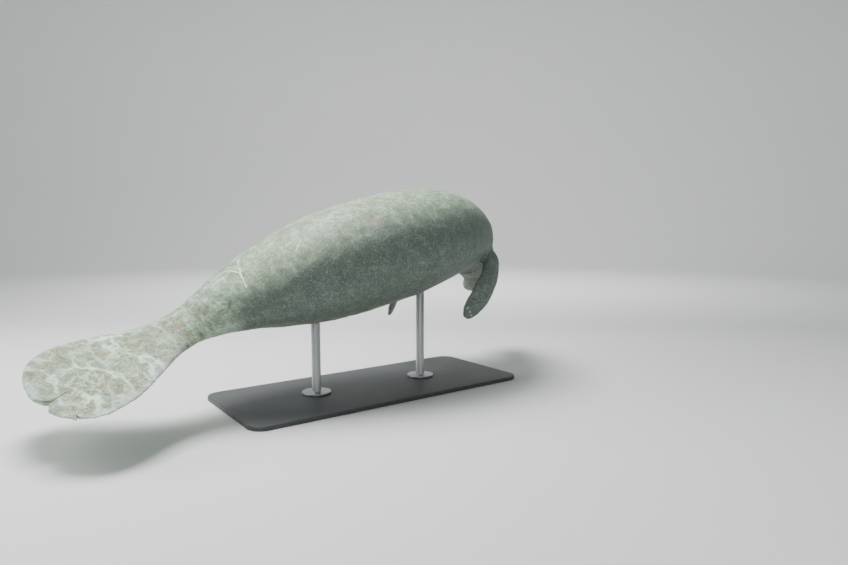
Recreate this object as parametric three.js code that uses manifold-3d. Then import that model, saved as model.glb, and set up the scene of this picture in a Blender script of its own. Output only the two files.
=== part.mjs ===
// A life-size manatee on a plain display stand, swimming with its head lowered and turned to its left.
// Millimetres. The origin is the middle of the base's underside, +X points to the head and +Z up.
import * as THREE from 'three';
import { mergeVertices } from 'three/addons/utils/BufferGeometryUtils.js';
import Module from 'manifold-3d';

const wasm = await Module();
wasm.setup();

// The body is described along its spine, from 0 at the muzzle to 1 at the tip of the tail.
const BODY_LENGTH = 2800;
const BODY_HEIGHT = 650;
const GAP = 0.3;
const SPINE_STEPS = 400;
const AROUND = 40;

// Rows of [place along the spine, degrees]: nose-up pitch, turn to the left and roll to the right.
const PITCH = [
  [0, -45], [0.1, -33], [0.2, -16], [0.33, 9], [0.5, 16], [0.66, 18], [0.76, 21], [0.86, 19], [1, 10],
];
const TURN = [[0, 37], [0.2, 24], [0.5, -6], [0.76, 6], [1, 6]];
const ROLL = [[0, 0], [0.33, 2], [0.5, 3], [0.66, 7], [0.76, 11], [1, 11]];

// Rows of [place, half width, height above the spine, depth below it, flatness of the rims].
const PROFILE = [
  [0, 34, 22, 32, 0],
  [0.003, 62, 42, 58, 0],
  [0.009, 84, 60, 80, 0],
  [0.02, 97, 72, 95, 0],
  [0.034, 95, 80, 97, 0],
  [0.061, 106, 98, 106, 0],
  [0.077, 116, 108, 112, 0],
  [0.1, 130, 121, 123, 0],
  [0.15, 161, 150, 147, 0],
  [0.22, 243, 213, 197, 0],
  [0.3, 301, 256, 236, 0],
  [0.4, 324, 276, 263, 0],
  [0.48, 326, 276, 260, 0],
  [0.56, 307, 256, 232, 0],
  [0.64, 257, 208, 174, 0.05],
  [0.7, 207, 158, 112, 0.15],
  [0.745, 150, 117, 76, 0.3],
  [0.78, 132, 87, 58, 0.5],
  [0.82, 166, 65, 49, 0.8],
  [0.86, 246, 50, 42, 1],
  [0.905, 329, 39, 34, 1],
  [0.94, 350, 29, 26, 1],
  [0.97, 310, 20, 18, 1],
  [0.988, 224, 13, 12, 1],
  [0.997, 124, 8, 8, 1],
  [1, 48, 5, 5, 1],
];
const RIM_HALF_THICKNESS = 7;
const RIM_ROUNDNESS = 0.6;

// Soft swellings and hollows of head and shoulders: place, degrees above the right side, reach and push.
const SIDE_SHAPING = [
  { name: 'lip pad', along: 0.014, angle: -36, reach: 60, push: 24 },
  { name: 'nostril mound', along: 0.011, angle: 66, reach: 32, push: 11 },
  { name: 'cheek', along: 0.1, angle: -18, reach: 75, push: 9 },
  { name: 'brow', along: 0.075, angle: 38, reach: 34, push: 9 },
  { name: 'eye hollow', along: 0.078, angle: 16, reach: 26, push: -6 },
  { name: 'lip hollow', along: 0.045, angle: -20, reach: 34, push: -7 },
  { name: 'shoulder', along: 0.196, angle: -26, reach: 85, push: 13 },
];
const MIDLINE_SHAPING = [
  { name: 'lip cleft', along: 0.005, angle: -90, reach: 32, push: -17 },
  { name: 'nose bridge', along: 0.036, angle: 90, reach: 50, push: -8 },
  { name: 'throat', along: 0.125, angle: -90, reach: 80, push: 14 },
];

// Skin folds that ring the neck: place, half width of the crease and its depth at the throat. Over the
// nape only a share of that depth is left.
const NAPE_SHARE = 0.35;
const NECK_FOLDS = [
  { along: 0.142, width: 0.0045, depth: 9 },
  { along: 0.166, width: 0.005, depth: 11 },
  { along: 0.192, width: 0.0055, depth: 8 },
];

// Lengths of the body, cut across the spine: first place, last place and rings between them.
const HEAD = { start: 0, end: 0.132, rings: 30 };
const NECK = { start: 0.132, end: 0.206, rings: 15 };
const CHEST = { start: 0.206, end: 0.4, rings: 9 };
const BELLY = { start: 0.4, end: 0.6, rings: 9 };
const TAIL_STOCK = { start: 0.6, end: 0.8, rings: 11 };
const TAIL_PADDLE = { start: 0.8, end: 1, rings: 20 };

// Old wounds of the paddle's trailing edge, as outlines of what is missing: a slit that opens into a
// shallow bite, and a small nick. Points of [forward from the tip, to the right of the midline].
const TORN_SLIT = [
  [106, 115], [46, 124], [28, 105], [11, 67], [-25, 10],
  [-50, 120], [-25, 235], [22, 186], [40, 140], [106, 119],
];
const NICK = [[78, 310], [85, 273], [96, 310]];
const TORN_PLACE = 0.975;
const TORN_CUT_HEIGHT = 120;

// Eyes, set into the sides of the head inside a ring of lid.
const EYE = { along: 0.078, angle: 20, radius: 12, sunk: 9.5 };
const LID = { radius: 12, thickness: 5, lift: -1.5 };

// Nostrils, two crescents on top of the muzzle, and the pinhole ears.
const NOSTRIL = { along: 0.0135, angle: 68, radius: 14, sweep: 200, depth: 5, steps: 8 };
const EAR = { along: 0.112, angle: 24, radius: 3.5 };

// Lower jaw, tucked up between the lip pads.
const JAW = { start: 0.014, end: 0.1, rings: 12, around: 24 };
const JAW_PROFILE = [
  [0, 24, 10, 86],
  [0.07, 42, 24, 86],
  [0.22, 57, 36, 87],
  [0.45, 67, 41, 88],
  [0.75, 63, 36, 88],
  [0.93, 46, 26, 87],
  [1, 22, 8, 86],
];

// Flippers. Rows of [share of the length, half chord, half thickness].
const FLIPPER_ROOT = { along: 0.196, angle: -26 };
const FLIPPER_RINGS = 20;
const FLIPPER_AROUND = 20;
const FLIPPER_PROFILE = [
  [0, 62, 52],
  [0.2, 66, 44],
  [0.34, 63, 31],
  [0.5, 68, 24],
  [0.68, 76, 19],
  [0.84, 70, 15],
  [0.94, 49, 11],
  [0.985, 25, 7],
  [1, 8, 4],
];
// Each flipper's path from inside the shoulder to its tip, in steps out, down and back from the shoulder.
const RIGHT_FLIPPER_PATH = [[-105, -40, -12], [0, 0, 0], [50, 104, 52], [52, 240, 135], [16, 380, 235]];
const LEFT_FLIPPER_PATH = [[-105, -40, -6], [0, 0, 0], [80, 100, 8], [135, 240, 20], [150, 400, 52]];
const FLIPPERS = [
  { side: 'right', mirror: 1, twist: 12, path: RIGHT_FLIPPER_PATH },
  { side: 'left', mirror: -1, twist: 20, path: LEFT_FLIPPER_PATH },
];
const NAIL = { count: 3, halfLength: 8, halfWidth: 6, halfThickness: 3, reach: 0.925, spread: 30 };
const NAIL_SLOPE_STEP = 0.03;

// Stand: a flat base and two rods up to the chest and the belly.
const BASE = { length: 1500, width: 640, height: 20, corner: 70, bevel: 3 };
const ROD_RADIUS = 22;
const ROD_PLACES = { front: 0.33, rear: 0.555 };
const FLANGE = { radius: 70, height: 10 };
const ROD_SIDES = 32;

const FINISHES = {
  skin: { color: 0x8f9a8c, roughness: 0.62, metalness: 0 },
  paddle: { color: 0xa9b5a4, roughness: 0.6, metalness: 0 },
  eye: { color: 0x1c1713, roughness: 0.12, metalness: 0 },
  nail: { color: 0xb9ab90, roughness: 0.45, metalness: 0 },
  base: { color: 0x3b3d3e, roughness: 0.5, metalness: 0.1 },
  rod: { color: 0xb4b6b8, roughness: 0.35, metalness: 1 },
};

const FULL_TURN = 2 * Math.PI;
const radians = THREE.MathUtils.degToRad;
const WORLD_UP = new THREE.Vector3(0, 0, 1);

// Slope of a smooth curve at the first of its rows, kept from overshooting.
function endSlope(firstStep, nextStep, firstRise, nextRise) {
  const slope = ((2 * firstStep + nextStep) * firstRise - firstStep * nextRise) / (firstStep + nextStep);
  if (Math.sign(slope) !== Math.sign(firstRise)) {
    return 0;
  }
  if (Math.sign(firstRise) !== Math.sign(nextRise) && Math.abs(slope) > 3 * Math.abs(firstRise)) {
    return 3 * firstRise;
  }
  return slope;
}

// Smooth curve through rows of [place, value], which never swings past a row.
function smoothCurve(places, values) {
  const last = places.length - 1;
  const steps = places.slice(1).map((place, i) => place - places[i]);
  const rises = steps.map((step, i) => (values[i + 1] - values[i]) / step);
  const slopes = places.map((place, i) => {
    if (i === 0) {
      return endSlope(steps[0], steps[1], rises[0], rises[1]);
    }
    if (i === last) {
      return endSlope(steps[last - 1], steps[last - 2], rises[last - 1], rises[last - 2]);
    }
    if (rises[i - 1] * rises[i] <= 0) {
      return 0;
    }
    const before = 2 * steps[i] + steps[i - 1];
    const after = steps[i] + 2 * steps[i - 1];
    return (before + after) / (before / rises[i - 1] + after / rises[i]);
  });
  return (place) => {
    let i = 0;
    while (i < last - 1 && place > places[i + 1]) {
      i += 1;
    }
    const step = steps[i];
    const t = (place - places[i]) / step;
    const rise = values[i + 1] - values[i];
    const cubic = step * (slopes[i] + slopes[i + 1]) - 2 * rise;
    const square = 3 * rise - step * (2 * slopes[i] + slopes[i + 1]);
    return values[i] + t * (step * slopes[i] + t * (square + t * cubic));
  };
}

// One smooth curve for each column of a table whose first column is the place.
function smoothTable(rows) {
  const places = rows.map((row) => row[0]);
  const columns = rows[0].slice(1).map((unused, column) => rows.map((row) => row[column + 1]));
  const curves = columns.map((values) => smoothCurve(places, values));
  return (place) => curves.map((curve) => curve(place));
}

const pitchAt = smoothTable(PITCH);
const turnAt = smoothTable(TURN);
const rollAt = smoothTable(ROLL);
const profileAt = smoothTable(PROFILE);

function forwardAt(along) {
  const pitch = radians(pitchAt(along)[0]);
  const turn = radians(turnAt(along)[0]);
  return new THREE.Vector3(
    Math.cos(pitch) * Math.cos(turn),
    Math.cos(pitch) * Math.sin(turn),
    Math.sin(pitch),
  );
}

// Points of the bent spine, walked backwards from the muzzle in equal steps.
function walkSpine() {
  const points = [new THREE.Vector3()];
  const step = BODY_LENGTH / SPINE_STEPS;
  for (let i = 1; i <= SPINE_STEPS; i += 1) {
    const mean = forwardAt((i - 1) / SPINE_STEPS).add(forwardAt(i / SPINE_STEPS)).multiplyScalar(step / 2);
    points.push(points[i - 1].clone().sub(mean));
  }
  return points;
}

const spinePoints = walkSpine();

function walkedPoint(along) {
  const spot = THREE.MathUtils.clamp(along, 0, 1) * SPINE_STEPS;
  const i = Math.min(Math.floor(spot), SPINE_STEPS - 1);
  return spinePoints[i].clone().lerp(spinePoints[i + 1], spot - i);
}

// The spine is moved so that the origin is midway between the two rods, and to its height on them.
const rodMiddle = walkedPoint(ROD_PLACES.front).add(walkedPoint(ROD_PLACES.rear)).multiplyScalar(0.5);
const spineShift = new THREE.Vector3(-rodMiddle.x, -rodMiddle.y, BODY_HEIGHT - walkedPoint(0.5).z);

// Place and directions of the spine: forward, right and up, rolled with the body.
function spineAt(along) {
  const forward = forwardAt(along);
  const level = new THREE.Vector3().crossVectors(forward, WORLD_UP).normalize();
  const above = new THREE.Vector3().crossVectors(level, forward);
  const roll = radians(rollAt(along)[0]);
  const right = level.clone().multiplyScalar(Math.cos(roll)).addScaledVector(above, -Math.sin(roll));
  const up = above.multiplyScalar(Math.cos(roll)).addScaledVector(level, Math.sin(roll));
  return { point: walkedPoint(along).add(spineShift), forward, right, up };
}

function outwardAt(spine, angle) {
  return spine.right.clone().multiplyScalar(Math.cos(angle)).addScaledVector(spine.up, Math.sin(angle));
}

// Point of the plain body at a place and an angle, which runs from the right side over the back.
function plainPoint(along, angle, grow = 0) {
  const spine = spineAt(along);
  const [halfWidth, above, below, flatness] = profileAt(along);
  const rise = Math.sin(angle);
  const half = rise >= 0 ? above : below;
  const rim = Math.min(RIM_HALF_THICKNESS, half);
  const steepness = Math.abs(rise);
  const lift = (half - rim) * steepness ** (1 + flatness) + rim * steepness ** RIM_ROUNDNESS;
  return spine.point
    .addScaledVector(spine.right, halfWidth * Math.cos(angle))
    .addScaledVector(spine.up, Math.sign(rise) * lift)
    .addScaledVector(outwardAt(spine, angle), grow);
}

function shapingBrush(spot, degrees) {
  const angle = radians(degrees);
  const centre = plainPoint(spot.along, angle);
  return { centre, reach: spot.reach, push: outwardAt(spineAt(spot.along), angle).multiplyScalar(spot.push) };
}

const brushes = [
  ...SIDE_SHAPING.map((spot) => shapingBrush(spot, spot.angle)),
  ...SIDE_SHAPING.map((spot) => shapingBrush(spot, 180 - spot.angle)),
  ...MIDLINE_SHAPING.map((spot) => shapingBrush(spot, spot.angle)),
];

// Depth of the neck's folds, deepest at the throat and fading over the nape.
function foldDepth(along, angle) {
  const share = THREE.MathUtils.lerp(NAPE_SHARE, 1, (1 - Math.sin(angle)) / 2);
  return NECK_FOLDS.reduce((depth, fold) => {
    const offset = (along - fold.along) / fold.width;
    return depth + share * fold.depth * Math.exp(-offset * offset);
  }, 0);
}

// Point of the finished body: the plain one with the head's shaping and the folds of the neck.
function bodyPoint(along, angle, grow = 0) {
  const point = plainPoint(along, angle, grow - foldDepth(along, angle));
  const start = point.clone();
  for (const brush of brushes) {
    const offset = start.distanceTo(brush.centre) / brush.reach;
    point.addScaledVector(brush.push, Math.exp(-offset * offset));
  }
  return point;
}

// Place, outward normal and the tangents at a point of the body's surface.
function skinFrame(along, degrees) {
  const angle = radians(degrees);
  const smallStep = 0.002;
  const smallAngle = 0.02;
  const point = bodyPoint(along, angle);
  const ahead = bodyPoint(along - smallStep, angle).sub(bodyPoint(along + smallStep, angle)).normalize();
  const over = bodyPoint(along, angle + smallAngle).sub(bodyPoint(along, angle - smallAngle));
  const normal = new THREE.Vector3().crossVectors(ahead, over).normalize();
  if (normal.dot(outwardAt(spineAt(along), angle)) < 0) {
    normal.negate();
  }
  const across = new THREE.Vector3().crossVectors(normal, ahead);
  return { point, normal, ahead, across };
}

// A closed grid of rings, each vertex set by place(share of the length, angle, share of the radius).
function ringedShape(around, rings, place) {
  const grid = new THREE.CylinderGeometry(1, 1, 1, around, rings);
  const spots = grid.attributes.position;
  for (let i = 0; i < spots.count; i += 1) {
    const x = spots.getX(i);
    const z = spots.getZ(i);
    const radius = Math.min(1, Math.hypot(x, z));
    const column = (Math.round(Math.atan2(z, x) / FULL_TURN * around) + around) % around;
    const row = Math.round((0.5 - spots.getY(i)) * rings);
    const point = place(row / rings, column / around * FULL_TURN, radius > 0.5 ? 1 : 0);
    spots.setXYZ(i, point.x, point.y, point.z);
  }
  return grid;
}

// Solid from a closed geometry, with its faces turned outwards.
function toSolid(geometry) {
  const bare = geometry.clone();
  bare.deleteAttribute('normal');
  bare.deleteAttribute('uv');
  const merged = mergeVertices(bare);
  const corners = new Uint32Array(merged.index.array);
  const vertices = new Float32Array(merged.attributes.position.array);
  const solid = new wasm.Manifold(new wasm.Mesh({ numProp: 3, vertProperties: vertices, triVerts: corners }));
  if (solid.volume() > 0) {
    return solid;
  }
  for (let i = 0; i < corners.length; i += 3) {
    [corners[i], corners[i + 1]] = [corners[i + 1], corners[i]];
  }
  return new wasm.Manifold(new wasm.Mesh({ numProp: 3, vertProperties: vertices, triVerts: corners }));
}

// Geometry of a solid's largest closed body.
function toGeometry(solid) {
  const bodies = solid.decompose();
  const largest = bodies.reduce((best, body) => (body.volume() > best.volume() ? body : best));
  const mesh = largest.getMesh();
  const geometry = new THREE.BufferGeometry();
  geometry.setAttribute('position', new THREE.BufferAttribute(new Float32Array(mesh.vertProperties), 3));
  geometry.setIndex(new THREE.BufferAttribute(new Uint32Array(mesh.triVerts), 1));
  geometry.computeVertexNormals();
  return geometry;
}

// A length of the body between two places, flat at both ends. A grown one cuts what meets the body.
function bodyLength({ start, end, rings }, rowSpread = (t) => t, grow = 0) {
  const margin = (grow > 0 ? -grow : GAP / 2) / BODY_LENGTH;
  const first = start > 0 ? start + margin : 0;
  const final = end < 1 ? end - margin : 1;
  return toSolid(ringedShape(AROUND, rings, (t, angle, radius) => {
    const along = THREE.MathUtils.lerp(first, final, rowSpread(t));
    return radius > 0 ? bodyPoint(along, angle, grow) : spineAt(along).point;
  }));
}

const grownLength = (part) => bodyLength(part, (t) => t, GAP);

// Rings crowd towards the muzzle on the head, and towards the tip on the paddle.
const MUZZLE_SPREAD = 0.35;
const crowdedStart = (t) => THREE.MathUtils.lerp(t * t, t, MUZZLE_SPREAD);
const crowdedEnd = (t) => Math.sin(t * Math.PI / 2);

// A geometry moved from its own axes to a place on the skin: x ahead, y across and z outwards.
function onSkin(geometry, frame, lift = 0) {
  const turned = new THREE.Matrix4().makeBasis(frame.ahead, frame.across, frame.normal);
  turned.setPosition(frame.point.clone().addScaledVector(frame.normal, lift));
  return geometry.applyMatrix4(turned);
}

const BOTH_SIDES = [
  { side: 'right', degrees: (angle) => angle, mirror: 1 },
  { side: 'left', degrees: (angle) => 180 - angle, mirror: -1 },
];

// Lower jaw: a scoop below the muzzle, with its front end rounded up.
function jawSolid(grow) {
  const jawAt = smoothTable(JAW_PROFILE);
  const start = JAW.start - grow / BODY_LENGTH;
  const end = JAW.end + grow / BODY_LENGTH;
  return toSolid(ringedShape(JAW.around, JAW.rings, (t, angle, radius) => {
    const share = (1 - Math.cos(t * Math.PI)) / 2;
    const [halfWidth, halfHeight, drop] = jawAt(share);
    const spine = spineAt(THREE.MathUtils.lerp(start, end, share));
    return spine.point
      .addScaledVector(spine.right, radius * (halfWidth + grow) * Math.cos(angle))
      .addScaledVector(spine.up, radius * (halfHeight + grow) * Math.sin(angle) - drop);
  }));
}

// A straight cut through the paddle, square to its flat.
function paddleCut(outline) {
  const { forward, right, up } = spineAt(TORN_PLACE);
  const plan = new THREE.Shape(outline.map(([ahead, aside]) => new THREE.Vector2(ahead, -aside)));
  const block = new THREE.ExtrudeGeometry(plan, { depth: TORN_CUT_HEIGHT, bevelEnabled: false });
  block.translate(0, 0, -TORN_CUT_HEIGHT / 2);
  const turned = new THREE.Matrix4().makeBasis(forward, right.clone().negate(), up);
  return toSolid(block.applyMatrix4(turned.setPosition(spineAt(1).point)));
}

function paddleSolid() {
  return bodyLength(TAIL_PADDLE, crowdedEnd).subtract(paddleCut(TORN_SLIT)).subtract(paddleCut(NICK));
}

function nostrilCut(frame, mirror) {
  const { radius, sweep, steps } = NOSTRIL;
  const points = [];
  for (let i = 0; i <= steps; i += 1) {
    const turn = radians(sweep * (i / steps - 0.5));
    points.push(new THREE.Vector3(radius * Math.cos(turn), mirror * radius * Math.sin(turn), 0));
  }
  const ring = new THREE.Shape().absarc(0, 0, NOSTRIL.depth, 0, FULL_TURN);
  const path = new THREE.CatmullRomCurve3(points);
  const tube = new THREE.ExtrudeGeometry(ring, { steps, curveSegments: 2, extrudePath: path });
  return toSolid(onSkin(tube, frame));
}

function headSolid() {
  let solid = bodyLength(HEAD, crowdedStart);
  for (const { degrees, mirror } of BOTH_SIDES) {
    const eyeFrame = skinFrame(EYE.along, degrees(EYE.angle));
    const lid = new THREE.TorusGeometry(LID.radius, LID.thickness, 6, 16);
    const socket = new THREE.SphereGeometry(EYE.radius + GAP, 14, 10);
    const nostrilFrame = skinFrame(NOSTRIL.along, degrees(NOSTRIL.angle));
    const ear = new THREE.SphereGeometry(EAR.radius, 8, 6);
    solid = solid
      .add(toSolid(onSkin(lid, eyeFrame, LID.lift)))
      .subtract(toSolid(onSkin(socket, eyeFrame, -EYE.sunk)))
      .subtract(nostrilCut(nostrilFrame, mirror))
      .subtract(toSolid(onSkin(ear, skinFrame(EAR.along, degrees(EAR.angle)))));
  }
  return solid.subtract(jawSolid(GAP));
}

// A flipper's surface: it follows its path, with the chord running from the front edge to the rear one.
function flipperBlade({ mirror, twist, path }) {
  const shoulderAngle = mirror > 0 ? FLIPPER_ROOT.angle : 180 - FLIPPER_ROOT.angle;
  const shoulder = bodyPoint(FLIPPER_ROOT.along, radians(shoulderAngle));
  const { forward, right, up } = spineAt(FLIPPER_ROOT.along);
  const steps = path.map(([out, down, back]) => shoulder.clone()
    .addScaledVector(right, mirror * out)
    .addScaledVector(up, -down)
    .addScaledVector(forward, -back));
  const curve = new THREE.CatmullRomCurve3(steps);
  const profile = smoothTable(FLIPPER_PROFILE);
  const faceAt = (t) => {
    const tangent = curve.getTangentAt(t);
    const chord = forward.clone().negate().addScaledVector(right, -mirror * Math.tan(radians(twist)));
    chord.addScaledVector(tangent, -chord.dot(tangent)).normalize();
    return { tangent, chord, face: new THREE.Vector3().crossVectors(tangent, chord).multiplyScalar(mirror) };
  };
  const pointAt = (t, angle, radius) => {
    const [halfChord, halfThickness] = profile(t);
    const { chord, face } = faceAt(t);
    return curve.getPointAt(t)
      .addScaledVector(chord, radius * halfChord * Math.cos(angle))
      .addScaledVector(face, radius * halfThickness * Math.sin(angle));
  };
  return { pointAt, faceAt };
}

function flipperSolid(flipper) {
  const { pointAt } = flipperBlade(flipper);
  return toSolid(ringedShape(FLIPPER_AROUND, FLIPPER_RINGS, (t, angle, radius) => (
    pointAt(Math.sin(t * Math.PI / 2), angle, radius)
  )));
}

// The nails lie on the outer face of the flipper's rounded end.
function nailPlaces(flipper) {
  const { pointAt, faceAt } = flipperBlade(flipper);
  const { face } = faceAt(NAIL.reach);
  const places = [];
  for (let i = 0; i < NAIL.count; i += 1) {
    const angle = radians(-90 + NAIL.spread * (i - (NAIL.count - 1) / 2));
    const point = pointAt(NAIL.reach, angle, 1);
    const before = pointAt(NAIL.reach - NAIL_SLOPE_STEP, angle, 1);
    const ahead = pointAt(NAIL.reach + NAIL_SLOPE_STEP, angle, 1).sub(before).normalize();
    const across = new THREE.Vector3().crossVectors(face, ahead).normalize();
    const normal = new THREE.Vector3().crossVectors(ahead, across);
    places.push({ point, ahead, across, normal });
  }
  return places;
}

function nailSolid(frame, grow) {
  const nail = new THREE.SphereGeometry(1, 10, 6);
  nail.scale(NAIL.halfLength + grow, NAIL.halfWidth + grow, NAIL.halfThickness + grow);
  return toSolid(onSkin(nail, frame));
}

const root = new THREE.Group();

function addPart(name, geometry, finish) {
  const mesh = new THREE.Mesh(geometry, new THREE.MeshStandardMaterial(FINISHES[finish]));
  mesh.name = name;
  root.add(mesh);
}

function addEyes() {
  for (const { side, degrees } of BOTH_SIDES) {
    const ball = new THREE.SphereGeometry(EYE.radius, 14, 10);
    addPart(`eye_${side}`, onSkin(ball, skinFrame(EYE.along, degrees(EYE.angle)), -EYE.sunk), 'eye');
  }
}

function addFlippers() {
  const grownBody = grownLength(NECK).add(grownLength(CHEST));
  for (const flipper of FLIPPERS) {
    let blade = flipperSolid(flipper).subtract(grownBody);
    nailPlaces(flipper).forEach((place, i) => {
      blade = blade.subtract(nailSolid(place, GAP));
      addPart(`nail_${flipper.side}_${i + 1}`, toGeometry(nailSolid(place, 0)), 'nail');
    });
    addPart(`flipper_${flipper.side}`, toGeometry(blade), 'skin');
  }
}

function addStand() {
  const { length, width, height, corner, bevel } = BASE;
  const halfLength = length / 2 - bevel;
  const halfWidth = width / 2 - bevel;
  const plan = new THREE.Shape();
  plan.moveTo(halfLength - corner, -halfWidth);
  plan.absarc(halfLength - corner, -halfWidth + corner, corner, -Math.PI / 2, 0);
  plan.absarc(halfLength - corner, halfWidth - corner, corner, 0, Math.PI / 2);
  plan.absarc(-halfLength + corner, halfWidth - corner, corner, Math.PI / 2, Math.PI);
  plan.absarc(-halfLength + corner, -halfWidth + corner, corner, Math.PI, 1.5 * Math.PI);
  const plate = new THREE.ExtrudeGeometry(plan, {
    depth: height - 2 * bevel,
    bevelThickness: bevel,
    bevelSize: bevel,
    bevelSegments: 1,
    curveSegments: 5,
  });
  plate.translate(0, 0, bevel);
  addPart('stand_base', toGeometry(toSolid(plate)), 'base');

  const grownBody = grownLength(CHEST).add(grownLength(BELLY)).add(grownLength(TAIL_STOCK));
  for (const [name, along] of Object.entries(ROD_PLACES)) {
    const spine = spineAt(along).point;
    const foot = height + GAP;
    const profile = [
      new THREE.Vector2(0, 0),
      new THREE.Vector2(FLANGE.radius, 0),
      new THREE.Vector2(FLANGE.radius, FLANGE.height),
      new THREE.Vector2(ROD_RADIUS, FLANGE.height),
      new THREE.Vector2(ROD_RADIUS, spine.z - foot),
      new THREE.Vector2(0, spine.z - foot),
    ];
    const rod = new THREE.LatheGeometry(profile, ROD_SIDES);
    rod.rotateX(Math.PI / 2);
    rod.translate(spine.x, spine.y, foot);
    addPart(`stand_rod_${name}`, toGeometry(toSolid(rod).subtract(grownBody)), 'rod');
  }
}

addPart('head', toGeometry(headSolid()), 'skin');
addPart('jaw', toGeometry(jawSolid(0)), 'skin');
addPart('neck', toGeometry(bodyLength(NECK)), 'skin');
addPart('chest', toGeometry(bodyLength(CHEST)), 'skin');
addPart('belly', toGeometry(bodyLength(BELLY)), 'skin');
addPart('tail_stock', toGeometry(bodyLength(TAIL_STOCK)), 'skin');
addPart('tail_paddle', toGeometry(paddleSolid()), 'paddle');
addEyes();
addFlippers();
addStand();

export default root;
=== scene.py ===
"""A life-size manatee on a display stand: its skin, eyes, nails, bristles, hairs, stand and studio.

Metres throughout. The body is described along its spine, from 0 at the muzzle to 1 at the tip of the
tail, and by an angle that runs from the right side over the back, as the solids are.
"""

import math

import bmesh
import bpy
import numpy as np
from bpy.props import FloatProperty, FloatVectorProperty, IntProperty, PointerProperty
from mathutils import Matrix, Vector
from mathutils.bvhtree import BVHTree


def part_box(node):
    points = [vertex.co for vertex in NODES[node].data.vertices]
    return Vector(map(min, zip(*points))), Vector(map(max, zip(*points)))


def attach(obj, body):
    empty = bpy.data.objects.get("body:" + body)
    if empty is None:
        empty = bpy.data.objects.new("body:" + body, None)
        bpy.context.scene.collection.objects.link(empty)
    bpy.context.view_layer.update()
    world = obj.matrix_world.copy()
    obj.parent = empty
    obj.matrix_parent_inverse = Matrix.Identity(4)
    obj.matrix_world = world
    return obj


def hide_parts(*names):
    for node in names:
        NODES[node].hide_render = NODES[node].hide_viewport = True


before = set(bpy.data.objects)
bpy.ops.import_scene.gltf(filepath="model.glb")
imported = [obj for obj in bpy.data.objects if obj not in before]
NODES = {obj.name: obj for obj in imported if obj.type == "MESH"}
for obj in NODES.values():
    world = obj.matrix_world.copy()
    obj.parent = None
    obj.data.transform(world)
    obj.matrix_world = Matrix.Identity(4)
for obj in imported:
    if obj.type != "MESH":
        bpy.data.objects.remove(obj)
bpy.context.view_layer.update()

bl_info = {
    "name": "Manatee on a stand",
    "version": (1, 0, 0),
    "blender": (4, 5, 0),
    "location": "3D View > Sidebar > Manatee",
    "description": "Builds the skin, eyes, nails, bristles and hairs of a manatee, and its stand",
    "category": "Object",
}

FLESH = (
    "head", "jaw", "neck", "chest", "belly", "tail_stock", "tail_paddle", "flipper_right", "flipper_left",
)

# The body's own sizes, in millimetres, as in the solids.
BODY_LENGTH = 2800
BODY_HEIGHT = 650
SPINE_STEPS = 400
ROD_PLACES = (0.33, 0.555)
# Place along the spine and degrees.
PITCH = [
    (0, -45), (0.1, -33), (0.2, -16), (0.33, 9), (0.5, 16), (0.66, 18), (0.76, 21), (0.86, 19), (1, 10),
]
TURN = [(0, 37), (0.2, 24), (0.5, -6), (0.76, 6), (1, 6)]
ROLL = [(0, 0), (0.33, 2), (0.5, 3), (0.66, 7), (0.76, 11), (1, 11)]
# Place, half width, height above and below the spine, and flatness of the section.
PROFILE = [
    (0, 34, 22, 32, 0),
    (0.003, 62, 42, 58, 0),
    (0.009, 84, 60, 80, 0),
    (0.02, 97, 72, 95, 0),
    (0.034, 95, 80, 97, 0),
    (0.061, 106, 98, 106, 0),
    (0.077, 116, 108, 112, 0),
    (0.1, 130, 121, 123, 0),
    (0.15, 161, 150, 147, 0),
    (0.22, 243, 213, 197, 0),
    (0.3, 301, 256, 236, 0),
    (0.4, 324, 276, 263, 0),
    (0.48, 326, 276, 260, 0),
    (0.56, 307, 256, 232, 0),
    (0.64, 257, 208, 174, 0.05),
    (0.7, 207, 158, 112, 0.15),
    (0.745, 150, 117, 76, 0.3),
    (0.78, 132, 87, 58, 0.5),
    (0.82, 166, 65, 49, 0.8),
    (0.86, 246, 50, 42, 1),
    (0.905, 329, 39, 34, 1),
    (0.94, 350, 29, 26, 1),
    (0.97, 310, 20, 18, 1),
    (0.988, 224, 13, 12, 1),
    (0.997, 124, 8, 8, 1),
    (1, 48, 5, 5, 1),
]
FULL_HALF_WIDTH = 330
RIM_HALF_THICKNESS = 7
RIM_ROUNDNESS = 0.6
CAP_RINGS = 4
CAP_DOME = 5
BODY_AROUND, JAW_AROUND, FLIPPER_AROUND = 176, 64, 72
JAW_RINGS, FLIPPER_RINGS = 40, 80
# Place, degrees above the right side, reach and push of each soft swelling or hollow.
SIDE_SHAPING = [
    (0.014, -36, 60, 24), (0.011, 66, 32, 11), (0.1, -18, 75, 9), (0.075, 38, 34, 9),
    (0.078, 16, 26, -6), (0.045, -20, 34, -7), (0.196, -26, 85, 13),
]
MIDLINE_SHAPING = [(0.005, -90, 32, -17), (0.036, 90, 50, -8), (0.125, -90, 80, 14)]
# Place, half width and depth of the folds that ring the neck, shallower over the nape.
NECK_FOLDS = [(0.142, 0.0045, 9), (0.166, 0.005, 11), (0.192, 0.0055, 8)]
NAPE_SHARE = 0.35
# The tears in the paddle's rim: distances ahead of its tip and to its right.
TORN_PLACE = 0.975
TORN_SLIT = [
    (106, 115), (46, 124), (28, 105), (11, 67), (-25, 10),
    (-50, 120), (-25, 235), (22, 186), (40, 140), (106, 119),
]
NICK = [(78, 310), (85, 273), (96, 310)]
EYE_PLACE, EYE_ANGLE, EYE_RADIUS, EYE_SUNK = 0.078, 20, 12, 9.5
NOSTRIL_PLACE, NOSTRIL_ANGLE, NOSTRIL_RADIUS = 0.0135, 68, 14
EAR_PLACE, EAR_ANGLE = 0.112, 24
JAW_START, JAW_END = 0.014, 0.1
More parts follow.
